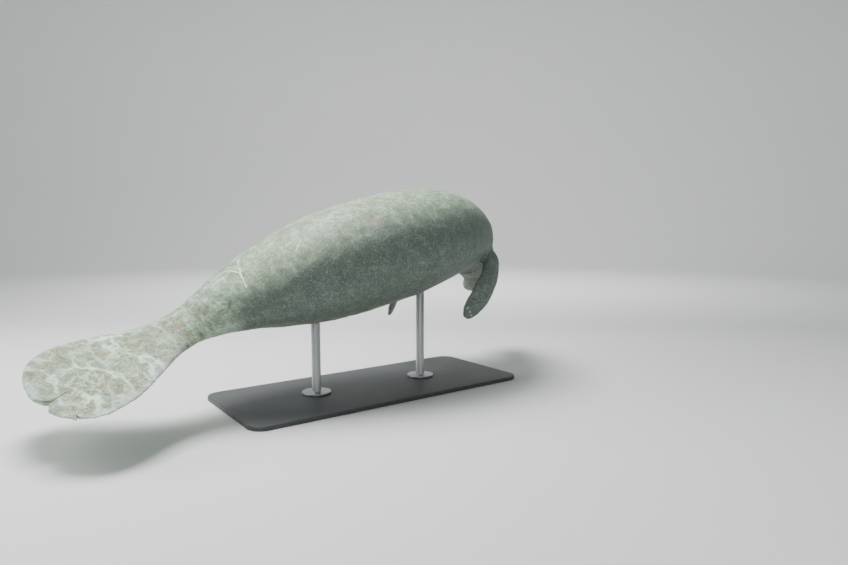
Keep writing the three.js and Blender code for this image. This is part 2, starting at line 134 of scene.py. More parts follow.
# Share of the jaw's length, half width, half height and drop below the spine.
JAW_PROFILE = [
    (0, 24, 10, 86), (0.07, 42, 24, 86), (0.22, 57, 36, 87), (0.45, 67, 41, 88),
    (0.75, 63, 36, 88), (0.93, 46, 26, 87), (1, 22, 8, 86),
]
FLIPPER_PLACE, FLIPPER_ANGLE = 0.196, -26
# Share of the flipper's length, half width and half thickness.
FLIPPER_PROFILE = [
    (0, 62, 52), (0.2, 66, 44), (0.34, 63, 31), (0.5, 68, 24), (0.68, 76, 19),
    (0.84, 70, 15), (0.94, 49, 11), (0.985, 25, 7), (1, 8, 4),
]
# Distances out from the shoulder, down and back.
RIGHT_FLIPPER_PATH = [(-105, -40, -12), (0, 0, 0), (50, 104, 52), (52, 240, 135), (16, 380, 235)]
LEFT_FLIPPER_PATH = [(-105, -40, -6), (0, 0, 0), (80, 100, 8), (135, 240, 20), (150, 400, 52)]
# Side, twist in degrees and path of each flipper.
FLIPPERS = [(1, 12, RIGHT_FLIPPER_PATH), (-1, 20, LEFT_FLIPPER_PATH)]

# Details in the skin, in metres: height or depth, distance from the middle and width of each ring.
LID_RIM, LID_BROW, LID_RAYS = (0.0030, 0.0098, 0.0040), (0.0022, 0.0205, 0.0045), (0.0009, 0.0165, 0.007)
LID_GROOVE, LID_OUTER_GROOVE = (0.0018, 0.0150, 0.0013), (0.0015, 0.0250, 0.0016)
LID_STRETCH, LID_ROUNDNESS, LID_SLANT, SOCKET_DEPTH = 1.42, 1.65, 0.10, 0.0065
NOSTRIL_LIP, NOSTRIL_DEPTH = (0.0022, 0.0185, 0.0045), 0.0085
EAR_DEPTH, EAR_RADIUS = 0.0045, 0.0024
MOUTH_DEPTH, MOUTH_WIDTH = 0.0065, 0.0032

# The eye, in metres.
PUPIL_EDGE, IRIS_EDGE, CORNEA_RISE, CORNEA_REACH = (0.0024, 0.0030), (0.0054, 0.0072), 0.0011, 0.0068

# The stand, in metres.
BASE_CORNER = 0.07
COLLAR_RADIUS, COLLAR_THICKNESS, COLLAR_FILLET, FILLET_RISE = 0.07, 0.01, 0.006, 0.0022
ROD_RADIUS, ROD_INSIDE = 0.022, 0.02

# The studio, in metres: a round floor that curves up to a wall.
FLOOR_RADIUS, FLOOR_RISE, FLOOR_STEPS, WALL_HEIGHT = 9.5, 4.5, 8, 7
ANIMAL_AIM, WALL_AIM = (-0.3, 0, 0.5), (7.0, 9.2, 1.6)
FRAME_WIDTH, SENSOR_WIDTH, FOCAL_PIXELS = 848, 36, 611.9737


# The body's shape, in millimetres.

def ridge(values, place, width):
    """1 where the values reach a place, and a soft fall to 0 on both sides of it."""
    return np.exp(-((values - place) / width) ** 2)


def slopes(steps, rises):
    """Slopes of a smooth curve at its rows, kept from overshooting."""
    inner_before = 2 * steps[1:] + steps[:-1]
    inner_after = steps[1:] + 2 * steps[:-1]
    turning = rises[:-1] * rises[1:] <= 0
    safe = np.where(turning, 1.0, 1.0 * rises[:-1])
    safe_next = np.where(turning, 1.0, 1.0 * rises[1:])
    inner = (inner_before + inner_after) / (inner_before / safe + inner_after / safe_next)
    inner = np.where(turning, 0.0, inner)
    ends = []
    for first, second in ((0, 1), (-1, -2)):
        h, g, a, b = steps[first], steps[second], rises[first], rises[second]
        end = ((2 * h + g) * a - h * b) / (h + g)
        if np.sign(end) != np.sign(a):
            end = 0.0
        elif np.sign(a) != np.sign(b) and abs(end) > 3 * abs(a):
            end = 3 * a
        ends.append(end)
    return np.concatenate([[ends[0]], inner, [ends[1]]])


def smooth_table(rows):
    """A smooth curve for each column of a table whose first column is the place."""
    table = np.array(rows, float)
    places = table[:, 0]
    steps = np.diff(places)
    columns = [(column, slopes(steps, np.diff(column) / steps)) for column in table[:, 1:].T]

    def at(place):
        place = np.atleast_1d(np.asarray(place, float))
        i = np.clip(np.searchsorted(places, place, side="right") - 1, 0, len(steps) - 1)
        step = steps[i]
        t = (place - places[i]) / step
        found = []
        for values, slope in columns:
            rise = values[i + 1] - values[i]
            cubic = step * (slope[i] + slope[i + 1]) - 2 * rise
            square = 3 * rise - step * (2 * slope[i] + slope[i + 1])
            found.append(values[i] + t * (step * slope[i] + t * (square + t * cubic)))
        return np.stack(found, 1)

    return at


pitch_at = smooth_table(PITCH)
turn_at = smooth_table(TURN)
roll_at = smooth_table(ROLL)
profile_at = smooth_table(PROFILE)


def unit(vectors):
    return vectors / np.linalg.norm(vectors, axis=-1, keepdims=True)


def forward_at(along):
    pitch = np.radians(pitch_at(along)[:, 0])
    turn = np.radians(turn_at(along)[:, 0])
    return np.stack([np.cos(pitch) * np.cos(turn), np.cos(pitch) * np.sin(turn), np.sin(pitch)], 1)


def walked_spine():
    """Points of the bent spine, walked backwards from the muzzle and set over the stand."""
    places = np.linspace(0, 1, SPINE_STEPS + 1)
    forward = forward_at(places)
    mean = (forward[1:] + forward[:-1]) * (BODY_LENGTH / SPINE_STEPS / 2)
    points = np.concatenate([[[0, 0, 0]], -np.cumsum(mean, 0)])
    middle = sum(np.stack([np.interp(rod, places, points[:, k]) for k in range(3)]) for rod in ROD_PLACES) / 2
    height = np.interp(0.5, places, points[:, 2])
    return places, points + np.array([-middle[0], -middle[1], BODY_HEIGHT - height])


SPINE_PLACES, SPINE_POINTS = walked_spine()


def spine_at(along):
    """Place and directions of the spine: forward, right and up, rolled with the body."""
    along = np.atleast_1d(np.asarray(along, float))
    point = np.stack([np.interp(along, SPINE_PLACES, SPINE_POINTS[:, k]) for k in range(3)], 1)
    forward = forward_at(along)
    level = unit(np.cross(forward, [0, 0, 1.0]))
    above = np.cross(level, forward)
    roll = np.radians(roll_at(along))
    right = level * np.cos(roll) - above * np.sin(roll)
    up = above * np.cos(roll) + level * np.sin(roll)
    return point, forward, right, up


def outward_at(along, angle):
    _, _, right, up = spine_at(along)
    return right * np.cos(angle)[:, None] + up * np.sin(angle)[:, None]


def plain_point(along, angle, grow=0.0):
    """Points of the body's surface before its swellings, hollows and folds, in millimetres."""
    point, _, right, up = spine_at(along)
    half_width, above, below, flatness = profile_at(along).T
    rise = np.sin(angle)
    half = np.where(rise >= 0, above, below)
    rim = np.minimum(RIM_HALF_THICKNESS, half)
    steepness = np.abs(rise)
    lift = (half - rim) * steepness ** (1 + flatness) + rim * steepness ** RIM_ROUNDNESS
    outward = right * np.cos(angle)[:, None] + up * rise[:, None]
    return (point + right * (half_width * np.cos(angle))[:, None] + up * (np.sign(rise) * lift)[:, None]
            + outward * np.reshape(grow, (-1, 1)))


def shaping_brushes():
    """Centre, reach and push of each swelling or hollow, on both sides of the body."""
    left = [(along, 180 - degrees, reach, push) for along, degrees, reach, push in SIDE_SHAPING]
    rows = [*SIDE_SHAPING, *left, *MIDLINE_SHAPING]
    brushes = []
    for along, degrees, reach, push in rows:
        angle = np.radians([degrees])
        brushes.append((plain_point([along], angle)[0], reach, outward_at([along], angle)[0] * push))
    return brushes


BRUSHES = shaping_brushes()


def fold_depth(along, angle):
    """Depth of the folds that ring the neck."""
    share = NAPE_SHARE + (1 - NAPE_SHARE) * (1 - np.sin(angle)) / 2
    return sum(share * depth * ridge(along, place, width) for place, width, depth in NECK_FOLDS)


def body_point(along, angle):
    """Points of the body's surface, in millimetres."""
    along = np.atleast_1d(np.asarray(along, float))
    angle = np.broadcast_to(np.asarray(angle, float), along.shape)
    start = plain_point(along, angle, -fold_depth(along, angle))
    point = start.copy()
    for centre, reach, push in BRUSHES:
        point += ridge(np.linalg.norm(start - centre, axis=1), 0, reach)[:, None] * push
    return point


def skin_frame(along, degrees):
    """Place of a spot on the body, in metres, and its directions: ahead, across and out of the skin."""
    angle = math.radians(degrees)
    spots = body_point(
        [along, along - 0.002, along + 0.002, along, along],
        np.array([angle, angle, angle, angle + 0.02, angle - 0.02]),
    )
    ahead = unit(spots[1] - spots[2])
    normal = unit(np.cross(ahead, spots[3] - spots[4]))
    if normal @ outward_at([along], np.array([angle]))[0] < 0:
        normal = -normal
    return spots[0] / 1000, ahead, np.cross(normal, ahead), normal


def smooth_path(points):
    """A smooth path through points, given by the share of its length."""
    rows = np.array(points, float)
    rows = np.concatenate([[2 * rows[0] - rows[1]], rows, [2 * rows[-1] - rows[-2]]])
    samples = []
    for a, b, c, d in zip(rows, rows[1:], rows[2:], rows[3:]):
        before, span, after = (math.sqrt(np.linalg.norm(q - p)) for p, q in ((a, b), (b, c), (c, d)))
        start = ((b - a) / before - (c - a) / (before + span) + (c - b) / span) * span
        end = ((c - b) / span - (d - b) / (span + after) + (d - c) / after) * span
        t = np.linspace(0, 1, 60, endpoint=False)[:, None]
        samples.append(b + start * t + (3 * (c - b) - 2 * start - end) * t ** 2
                       + (2 * (b - c) + start + end) * t ** 3)
    samples.append(rows[-2:-1])
    samples = np.concatenate(samples)
    lengths = np.concatenate([[0], np.cumsum(np.linalg.norm(np.diff(samples, axis=0), axis=1))])
    share = lengths / lengths[-1]
    return lambda t: np.stack([np.interp(t, share, samples[:, k]) for k in range(3)], -1)


def flipper_blade(mirror, twist, path):
    """A flipper's surface: point at a share of its length and an angle round its chord."""
    degrees = FLIPPER_ANGLE if mirror > 0 else 180 - FLIPPER_ANGLE
    shoulder = body_point([FLIPPER_PLACE], math.radians(degrees))[0]
    _, forward, right, up = (row[0] for row in spine_at([FLIPPER_PLACE]))
    steps = [shoulder + right * mirror * out - up * down - forward * back for out, down, back in path]
    curve = smooth_path(steps)
    profile = smooth_table(FLIPPER_PROFILE)

    def blade_at(t, angle, radius):
        t = np.atleast_1d(t)
        half_chord, half_thickness = profile(t).T
        tangent = unit(curve(np.minimum(t + 0.01, 1)) - curve(np.maximum(t - 0.01, 0)))
        chord = np.broadcast_to(-forward - right * mirror * math.tan(math.radians(twist)), tangent.shape)
        chord = unit(chord - tangent * (chord * tangent).sum(1, keepdims=True))
        face = np.cross(tangent, chord) * mirror
        return (curve(t) + chord * (radius * half_chord * np.cos(angle))[:, None]
                + face * (radius * half_thickness * np.sin(angle))[:, None])

    return blade_at


BLADES = [flipper_blade(*flipper) for flipper in FLIPPERS]


def jaw_point(share, angle, radius):
    share = np.atleast_1d(share)
    half_width, half_height, drop = smooth_table(JAW_PROFILE)(share).T
    point, _, right, up = spine_at(JAW_START + (JAW_END - JAW_START) * share)
    return (point + right * (radius * half_width * np.cos(angle))[:, None]
            + up * (radius * half_height * np.sin(angle) - drop)[:, None])


def ringed_mesh(rings, around, point_at):
    """Vertices in metres and faces of a closed form with rings, each end closed by ever smaller rings."""
    places = np.concatenate([np.full(CAP_RINGS, rings[0]), rings, np.full(CAP_RINGS, rings[-1])])
    cap = np.arange(CAP_RINGS) / CAP_RINGS
    radii = np.concatenate([cap, np.ones(len(rings)), cap[::-1]])
    angles = np.arange(around) / around * 2 * np.pi
    grid = [point_at(np.full(around, place), angles, radius) for place, radius in zip(places, radii)]
    vertices = np.concatenate(grid) / 1000
    count = len(places)
    row = np.arange(count - 1)[:, None] * around
    column = np.arange(around)[None, :]
    after = (column + 1) % around
    faces = np.stack([row + column, row + after, row + around + after, row + around + column], -1)
    return vertices, faces.reshape(-1, 4)


def body_with_caps(along, angle, radius):
    """The body's surface, or for its blunt ends a smaller ring of it, a little domed."""
    if radius >= 1:
        return body_point(along, angle)
    _, forward, _, _ = spine_at(along)
    dome = CAP_DOME * (1 - radius ** 2) * (1 if along[0] < 0.5 else -0.3)
    rim = body_point(along, angle)
    centre = rim.mean(0)
    return centre + (rim - centre) * radius + forward * dome


BODY_RINGS = np.concatenate([
    np.linspace(0, 0.03, 30, endpoint=False), np.linspace(0.03, 0.21, 90, endpoint=False),
    np.linspace(0.21, 0.8, 150, endpoint=False), np.linspace(0.8, 0.985, 80, endpoint=False),
    np.linspace(0.985, 1, 16),
])


# Modelling helpers.

def srgb(*levels):
    """A colour as a paint chart gives it, from 0 to 255, in the linear form that shaders use."""
    shares = [level / 255 for level in levels]
    return tuple(s / 12.92 if s <= 0.04045 else ((s + 0.055) / 1.055) ** 2.4 for s in shares)


def pick(*objects):
    """Only these objects are selected, and the first is active."""
    if bpy.context.mode != "OBJECT":
        bpy.ops.object.mode_set(mode="OBJECT")
    bpy.ops.object.select_all(action="DESELECT")
    for piece in objects:
        piece.select_set(True)
    bpy.context.view_layer.objects.active = objects[0]


def modify(piece, kind, **settings):
    """Adds a modifier and applies it."""
    pick(piece)
    modifier = piece.modifiers.new(kind.title(), kind)
    for name, value in settings.items():
        setattr(modifier, name, value)
    bpy.ops.object.modifier_apply(modifier=modifier.name)


def settle(piece):
    """Puts a finished piece's place and size into its mesh."""
    pick(piece)
    bpy.ops.object.transform_apply(location=True, rotation=True, scale=True)


def named(name):
    piece = bpy.context.active_object
    piece.name = name
    piece.data.name = name
    return piece


def mesh_piece(name, vertices, faces):
    """A piece from vertices and faces, made another way than by hand as its form is a living one."""
    mesh = bpy.data.meshes.new(name)
    mesh.from_pydata(np.asarray(vertices).tolist(), [], [list(face) for face in faces])
    mesh.validate()
    piece = bpy.data.objects.new(name, mesh)
    bpy.context.scene.collection.objects.link(piece)
    return piece


def choose(piece, kind, wanted):
    """Enters edit mode with only the wanted faces or edges selected."""
    pick(piece)
    bpy.context.tool_settings.mesh_select_mode = (False, kind == "EDGE", kind == "FACE")
    bpy.ops.object.mode_set(mode="EDIT")
    bpy.ops.mesh.select_all(action="DESELECT")
    bpy.ops.object.mode_set(mode="OBJECT")
    for element in piece.data.edges if kind == "EDGE" else piece.data.polygons:
        element.select = bool(wanted(element))
    bpy.ops.object.mode_set(mode="EDIT")


def ends_of(piece, edge):
    return [np.array(piece.data.vertices[vertex].co) for vertex in edge.vertices]


def places_of(piece):
    spots = np.zeros(len(piece.data.vertices) * 3)
    piece.data.vertices.foreach_get("co", spots)
    return spots.reshape(-1, 3)


def normals_of(piece):
    normals = np.zeros(len(piece.data.vertices) * 3)
    piece.data.vertex_normals.foreach_get("vector", normals)
    return normals.reshape(-1, 3)


def move_vertices(piece, spots):
    piece.data.vertices.foreach_set("co", np.asarray(spots, float).ravel())
    piece.data.update()


def edit_all(piece):
    """Enters edit mode with the whole mesh selected."""
    pick(piece)
    bpy.ops.object.mode_set(mode="EDIT")
    bpy.ops.mesh.select_all(action="SELECT")


def faces_outwards(piece):
    edit_all(piece)
    bpy.ops.mesh.normals_make_consistent(inside=False)
    bpy.ops.object.mode_set(mode="OBJECT")


def keep_largest(piece):
    """Deletes all but the largest of the closed forms in a mesh."""
    edges = np.zeros(len(piece.data.edges) * 2, int)
    piece.data.edges.foreach_get("vertices", edges)
    edges = edges.reshape(-1, 2)
    label = np.arange(len(piece.data.vertices))
    while True:
        lowest = np.minimum(label[edges[:, 0]], label[edges[:, 1]])
        before = label.copy()
        np.minimum.at(label, edges[:, 0], lowest)
        np.minimum.at(label, edges[:, 1], lowest)
        label = label[label]
        if (label == before).all():
            break
    kept = np.bincount(label).argmax()
    shape = bmesh.new()
    shape.from_mesh(piece.data)
    shape.verts.ensure_lookup_table()
    bmesh.ops.delete(shape, geom=[v for v in shape.verts if label[v.index] != kept], context="VERTS")
    shape.to_mesh(piece.data)
    shape.free()


def tree_of(vertices, faces):
    return BVHTree.FromPolygons([Vector(v) for v in vertices], [tuple(f) for f in faces])


def distances(tree, spots, reach=0.2):
    """Distance of each spot to a surface, or reach where it is further away."""
    found = np.full(len(spots), reach)
    for i, spot in enumerate(spots):
        hit = tree.find_nearest(Vector(spot), reach)
        if hit[0] is not None:
            found[i] = hit[3]
    return found


def hills(spots, wavelength, seed):
    """A smooth random height, of about -1 to 1, at each spot: a sum of waves in all directions."""
    count = 24
    random = np.random.default_rng(seed)
    waves = unit(random.normal(size=(count, 3))) * (2 * np.pi / wavelength)
    waves *= random.uniform(0.6, 1.5, (count, 1))
    phases = random.uniform(0, 2 * np.pi, count)
    return np.sin(spots @ waves.T + phases).sum(1) / math.sqrt(count / 2) / 1.6


def soft_step(values, low, high):
    share = np.clip((values - low) / (high - low), 0, 1)
    return share * share * (3 - 2 * share)


def spine_places(spots):
    """Place along the spine, and distances to the right of it and above it, of spots in metres."""
    along = np.linspace(0, 1, 561)
    point, _, _, _ = spine_at(along)
    nearest = np.zeros(len(spots), int)
    batch = 20000
    for start in range(0, len(spots), batch):
        part = spots[start:start + batch] * 1000
        gap = (part ** 2).sum(1)[:, None] - 2 * part @ point.T + (point ** 2).sum(1)[None, :]
        nearest[start:start + batch] = gap.argmin(1)
    place = along[nearest]
    for _ in range(3):
        point, forward, right, up = spine_at(place)
        offset = spots * 1000 - point
        place = np.clip(place - (offset * forward).sum(1) / BODY_LENGTH * 0.8, 0, 1)
    point, forward, right, up = spine_at(place)
    offset = spots * 1000 - point
    beyond = (offset * forward).sum(1)
    return place - beyond / BODY_LENGTH, (offset * right).sum(1) / 1000, (offset * up).sum(1) / 1000


# Shader helpers.

class Wire:
    """An output socket that takes part in sums. Each sum adds its Math node."""

    def __init__(self, paint, socket):
        self.paint = paint
        self.socket = socket

    def maths(self, operation, *values):
        return self.paint.node("ShaderNodeMath", {"operation": operation}, dict(enumerate(values)))

    def __add__(self, other):
        return self.maths("ADD", self, other)

    def __radd__(self, other):
        return self.maths("ADD", other, self)

    def __sub__(self, other):
        return self.maths("SUBTRACT", self, other)

    def __rsub__(self, other):
        return self.maths("SUBTRACT", other, self)

    def __mul__(self, other):
        return self.maths("MULTIPLY", self, other)

    def __rmul__(self, other):
        return self.maths("MULTIPLY", other, self)

    def size(self):
        return self.maths("ABSOLUTE", self)

    def least(self, other):
        return self.maths("MINIMUM", self, other)

    def most(self, other):
        return self.maths("MAXIMUM", self, other)

    def step(self, low, high):
        """0 below low and 1 above high, with a soft change between them. High may be the lower one."""
        return self.paint.node(
            "ShaderNodeMapRange", {"interpolation_type": "SMOOTHSTEP"},
            {0: self, 1: min(low, high), 2: max(low, high), 3: float(low > high), 4: float(low < high)},
        )


class Paint:
    """A node material that is built up from Python expressions."""

    def __init__(self, name):
        self.material = bpy.data.materials.new(name)
        self.material.use_nodes = True
        self.tree = self.material.node_tree
        self.tree.nodes.clear()
        self.shader = self.tree.nodes.new("ShaderNodeBsdfPrincipled")
        self.output = self.tree.nodes.new("ShaderNodeOutputMaterial")
        self.tree.links.new(self.shader.outputs[0], self.output.inputs[0])

    def node(self, kind, settings=None, inputs=None, output=0):
        """Adds a node: its settings first, then the values or links of its sockets."""
        made = self.tree.nodes.new(kind)
        for name, value in (settings or {}).items():
            setattr(made, name, value)
        for name, value in (inputs or {}).items():
            self.feed(made.inputs[name], value)
        return Wire(self, made.outputs[output])

    def feed(self, socket, value):
        if isinstance(value, Wire):
            self.tree.links.new(value.socket, socket)
        elif socket.type == "RGBA" and len(value) == 3:
            socket.default_value = (*value, 1)
        else:
            socket.default_value = value

    def set(self, **sockets):
        """Feeds the shader's sockets, with each name's words joined by underscores."""
        for name, value in sockets.items():
            self.feed(self.shader.inputs[name.replace("_", " ")], value)

    def object_place(self):
        return self.node("ShaderNodeTexCoord", output="Object")

    def carried(self, name, output="Fac"):
        return self.node("ShaderNodeAttribute", {"attribute_name": name}, output=output)

    def parts(self, vector):
        split = self.node("ShaderNodeSeparateXYZ", inputs={0: vector})
        return [Wire(self, split.socket.node.outputs[i]) for i in range(3)]

    def joined(self, x, y, z):
        return self.node("ShaderNodeCombineXYZ", inputs={0: x, 1: y, 2: z})

    def scaled(self, vector, scale):
        return self.node("ShaderNodeMapping", inputs={"Vector": vector, "Scale": scale})

    def noise(self, vector, scale, detail=3.0, roughness=0.5):
        inputs = {"Vector": vector, "Scale": scale, "Detail": detail, "Roughness": roughness}
        return self.node("ShaderNodeTexNoise", inputs=inputs)

    def cells(self, vector, scale, feature="DISTANCE_TO_EDGE"):
        inputs = {"Vector": vector, "Scale": scale}
        return self.node("ShaderNodeTexVoronoi", {"feature": feature}, inputs, "Distance")

    def shifted(self, vector, scale, amount, detail=2.0):
        """A vector moved about by noise, so that what reads it loses its straight lines."""
        inputs = {"Vector": vector, "Scale": scale, "Detail": detail}
        colour = self.node("ShaderNodeTexNoise", inputs=inputs, output="Color")
        centred = self.vector_maths("SUBTRACT", {0: colour, 1: (0.5, 0.5, 0.5)})
        push = self.vector_maths("SCALE", {0: centred, "Scale": amount})
        return self.vector_maths("ADD", {0: vector, 1: push})

    def vector_maths(self, operation, inputs, output="Vector"):
        return self.node("ShaderNodeVectorMath", {"operation": operation}, inputs, output)

    def blend(self, share, first, second):
        """Colours mixed by a share: the first at 0 and the second at 1."""
        return self.node("ShaderNodeMix", {"data_type": "RGBA"}, {0: share, 6: first, 7: second}, 2)

    def bumped(self, height, distance, strength):
        """The normal of a surface with a height of 0 to 1 over a distance in metres."""
        inputs = {"Height": height, "Distance": distance, "Strength": strength}
        return self.node("ShaderNodeBump", inputs=inputs)

    def onto(self, piece):
        piece.data.materials.clear()
        piece.data.materials.append(self.material)


# What a user may change.

def tint(name, description, *levels):
    return FloatVectorProperty(
        name=name, description=description, subtype="COLOR", size=3, default=srgb(*levels), min=0, max=1)


def metres(name, description, default, low, high):
    return FloatProperty(
        name=name, description=description, default=default, min=low, max=high, unit="LENGTH")


class SkinSettings(bpy.types.PropertyGroup):
    voxel: metres("Mesh size", "Width of the skin's faces before the head is refined", 0.007, 0.005, 0.02)
    thinning: FloatProperty(
        name="Thinning", description="Share of the faces that is left after the broad parts are thinned out",
        default=0.48, min=0.2, max=1)
    lumps: metres("Lumps", "Height of the broad, soft unevenness of the body", 0.002, 0, 0.02)
    wrinkles: metres(
        "Wrinkles", "Depth of the creases of the tail stock, the throat and the flippers", 0.0016, 0, 0.01)
    grain: metres("Grain", "Height of the fine pebbling and cracks of the hide", 0.0013, 0, 0.01)
    # The back's lighter colour is partly its algae and partly painted light from above; the flank and belly
    # colours are darkened as painted shade.
    back: tint("Back", "Colour of the back and the tail", 150, 180, 152)
    shaded_flank: tint("Flank", "Colour of the flanks and the head", 90, 101, 96)
    belly: tint("Belly", "Colour of the belly", 100, 104, 97)
    paddle: tint("Paddle", "Colour of the tail paddle", 148, 168, 142)
    algae: tint("Algae", "Colour of the thin film of algae on the back", 104, 102, 50)
    scar: tint("Scar", "Colour of healed wounds", 232, 240, 230)


class HairSettings(bpy.types.PropertyGroup):
    bristles: IntProperty(
        name="Bristles", description="Number of short bristles on each lip pad", default=330, min=0, max=1000)
    bristle_length: metres("Bristle length", "Length of the longest bristles", 0.013, 0.002, 0.04)
    hairs: IntProperty(
        name="Body hairs", description="Number of single hairs over the body", default=4200, min=0, max=12000)
    hair_length: metres("Hair length", "Length of the longest body hairs", 0.026, 0.005, 0.06)
    colour: tint("Colour", "Colour of bristles and hairs", 214, 205, 180)


class StandSettings(bpy.types.PropertyGroup):
    bevel: metres("Edge", "Width of the rounded edge of the base", 0.003, 0.001, 0.01)
    base: tint("Base", "Colour of the base's paint", 62, 64, 66)
    rod: tint("Rods", "Colour of the rods' steel", 186, 188, 190)


class StudioSettings(bpy.types.PropertyGroup):
    eye_place: FloatVectorProperty(
        name="Camera", description="Place of the camera", subtype="TRANSLATION", size=3, unit="LENGTH",
        default=(-1.6191, -2.6392, 0.8361))
    heading: FloatProperty(
        name="Heading", description="Direction of view, turned from +Y to +X", default=math.radians(36.5502),
        subtype="ANGLE")
    lift: FloatProperty(
        name="Lift", description="Direction of view above the horizon", default=math.radians(-5.4092),
        subtype="ANGLE")
    tilt: FloatProperty(
        name="Tilt", description="Roll of the camera", default=math.radians(-0.0897), subtype="ANGLE")
    lens: FloatProperty(
        name="Lens", description="Focal length in millimetres on a 36 mm frame",
        default=SENSOR_WIDTH * FOCAL_PIXELS / FRAME_WIDTH, min=10, max=200)
    key: FloatProperty(name="Key light", description="Power of the large light above", default=400, min=0,
                       unit="POWER")
    fill: FloatProperty(name="Fill", description="Strength of the light from all round", default=0.7, min=0)
    floor: tint("Floor", "Colour of the studio floor", 205, 207, 205)


# Camera, light and floor.

class MANATEE_OT_studio(bpy.types.Operator):
    """Adds the camera, the lights and the pale floor with its curved rise"""

    bl_idname = "manatee.studio"
    bl_label = "Studio"

    def execute(self, context):
        studio = context.scene.manatee_studio
        self.add_camera(context, studio)
        self.add_lights(context, studio)
        self.add_floor(studio)
        return {"FINISHED"}

    def add_camera(self, context, studio):
        bpy.ops.object.camera_add(location=studio.eye_place)
        camera = context.active_object
        camera.name = "camera"
        camera.data.lens = studio.lens
        camera.data.sensor_width = SENSOR_WIDTH
        camera.data.clip_start = 0.05
        camera.data.clip_end = 100
        level = Matrix.Rotation(-studio.heading, 4, "Z") @ Matrix.Rotation(math.pi / 2 + studio.lift, 4, "X")
        turned = level @ Matrix.Rotation(-studio.tilt, 4, "Z")
        camera.rotation_euler = turned.to_euler()
        context.scene.camera = camera

    def add_lights(self, context, studio):
        world = bpy.data.worlds.new("studio_air")
        context.scene.world = world
        world.use_nodes = True
        background = world.node_tree.nodes["Background"]
        background.inputs["Color"].default_value = (*srgb(226, 232, 232), 1)
        background.inputs["Strength"].default_value = studio.fill
        # Name, place, size, share of the key light's power and what it shines on.
        rows = [
            ("key_light", (-0.9, 0.9, 4.2), (2.4, 1.6), 1.0, ANIMAL_AIM),
            ("back_light", (-3.6, 2.4, 3.0), (2.2, 2.2), 0.3, ANIMAL_AIM),
            ("camera_light", (-3.2, -4.4, 2.4), (3.0, 3.0), 0.09, ANIMAL_AIM),
            ("wall_light", (2.2, 3.0, 4.6), (6.0, 2.5), 1.9, WALL_AIM),
        ]
        for name, place, (length, width), share, target in rows:
            bpy.ops.object.light_add(type="AREA", location=place)
            light = context.active_object
            light.name = name
            light.data.shape = "RECTANGLE"
            light.data.size, light.data.size_y = length, width
            light.data.energy = studio.key * share
            aim = Vector(target) - Vector(place)
            light.rotation_euler = aim.to_track_quat("-Z", "Y").to_euler()

    def add_floor(self, studio):
        bpy.ops.mesh.primitive_circle_add(vertices=96, radius=FLOOR_RADIUS, fill_type="NGON")
        floor = named("studio_floor")
        edit_all(floor)
        for step in range(FLOOR_STEPS):
            last = step / FLOOR_STEPS * math.pi / 2
            turn = (step + 1) / FLOOR_STEPS * math.pi / 2
            lift = FLOOR_RISE * (math.cos(last) - math.cos(turn))
            bpy.ops.mesh.extrude_region_move(TRANSFORM_OT_translate={"value": (0, 0, lift)})
            bpy.ops.mesh.select_mode(type="VERT")
            radii = [FLOOR_RADIUS + FLOOR_RISE * math.sin(angle) for angle in (last, turn)]
            wide = radii[1] / radii[0]
            bpy.ops.transform.resize(value=(wide, wide, 1))
        bpy.ops.mesh.extrude_region_move(TRANSFORM_OT_translate={"value": (0, 0, WALL_HEIGHT)})
        bpy.ops.mesh.delete(type="ONLY_FACE")
        bpy.ops.object.mode_set(mode="OBJECT")
        paint = Paint("studio_floor")
        grain = paint.noise(paint.object_place(), 1.3, 2)
        tone = paint.blend(grain, tuple(0.97 * c for c in studio.floor), tuple(studio.floor))
        paint.set(Base_Color=tone, Roughness=0.8, Specular_IOR_Level=0.2)
        paint.onto(floor)
        bpy.ops.object.shade_smooth()


# The skin.

def frames_of_both(along, degrees):
    """Frames of a spot on the right side and of its mirror image on the left."""
    return [skin_frame(along, degrees), skin_frame(along, 180 - degrees)]


def local_offsets(spots, spot_frame):
    """Distances of spots ahead of, across and out of a frame on the skin."""
    origin, ahead, across, normal = spot_frame
    offset = spots - origin
    return offset @ ahead, offset @ across, offset @ normal


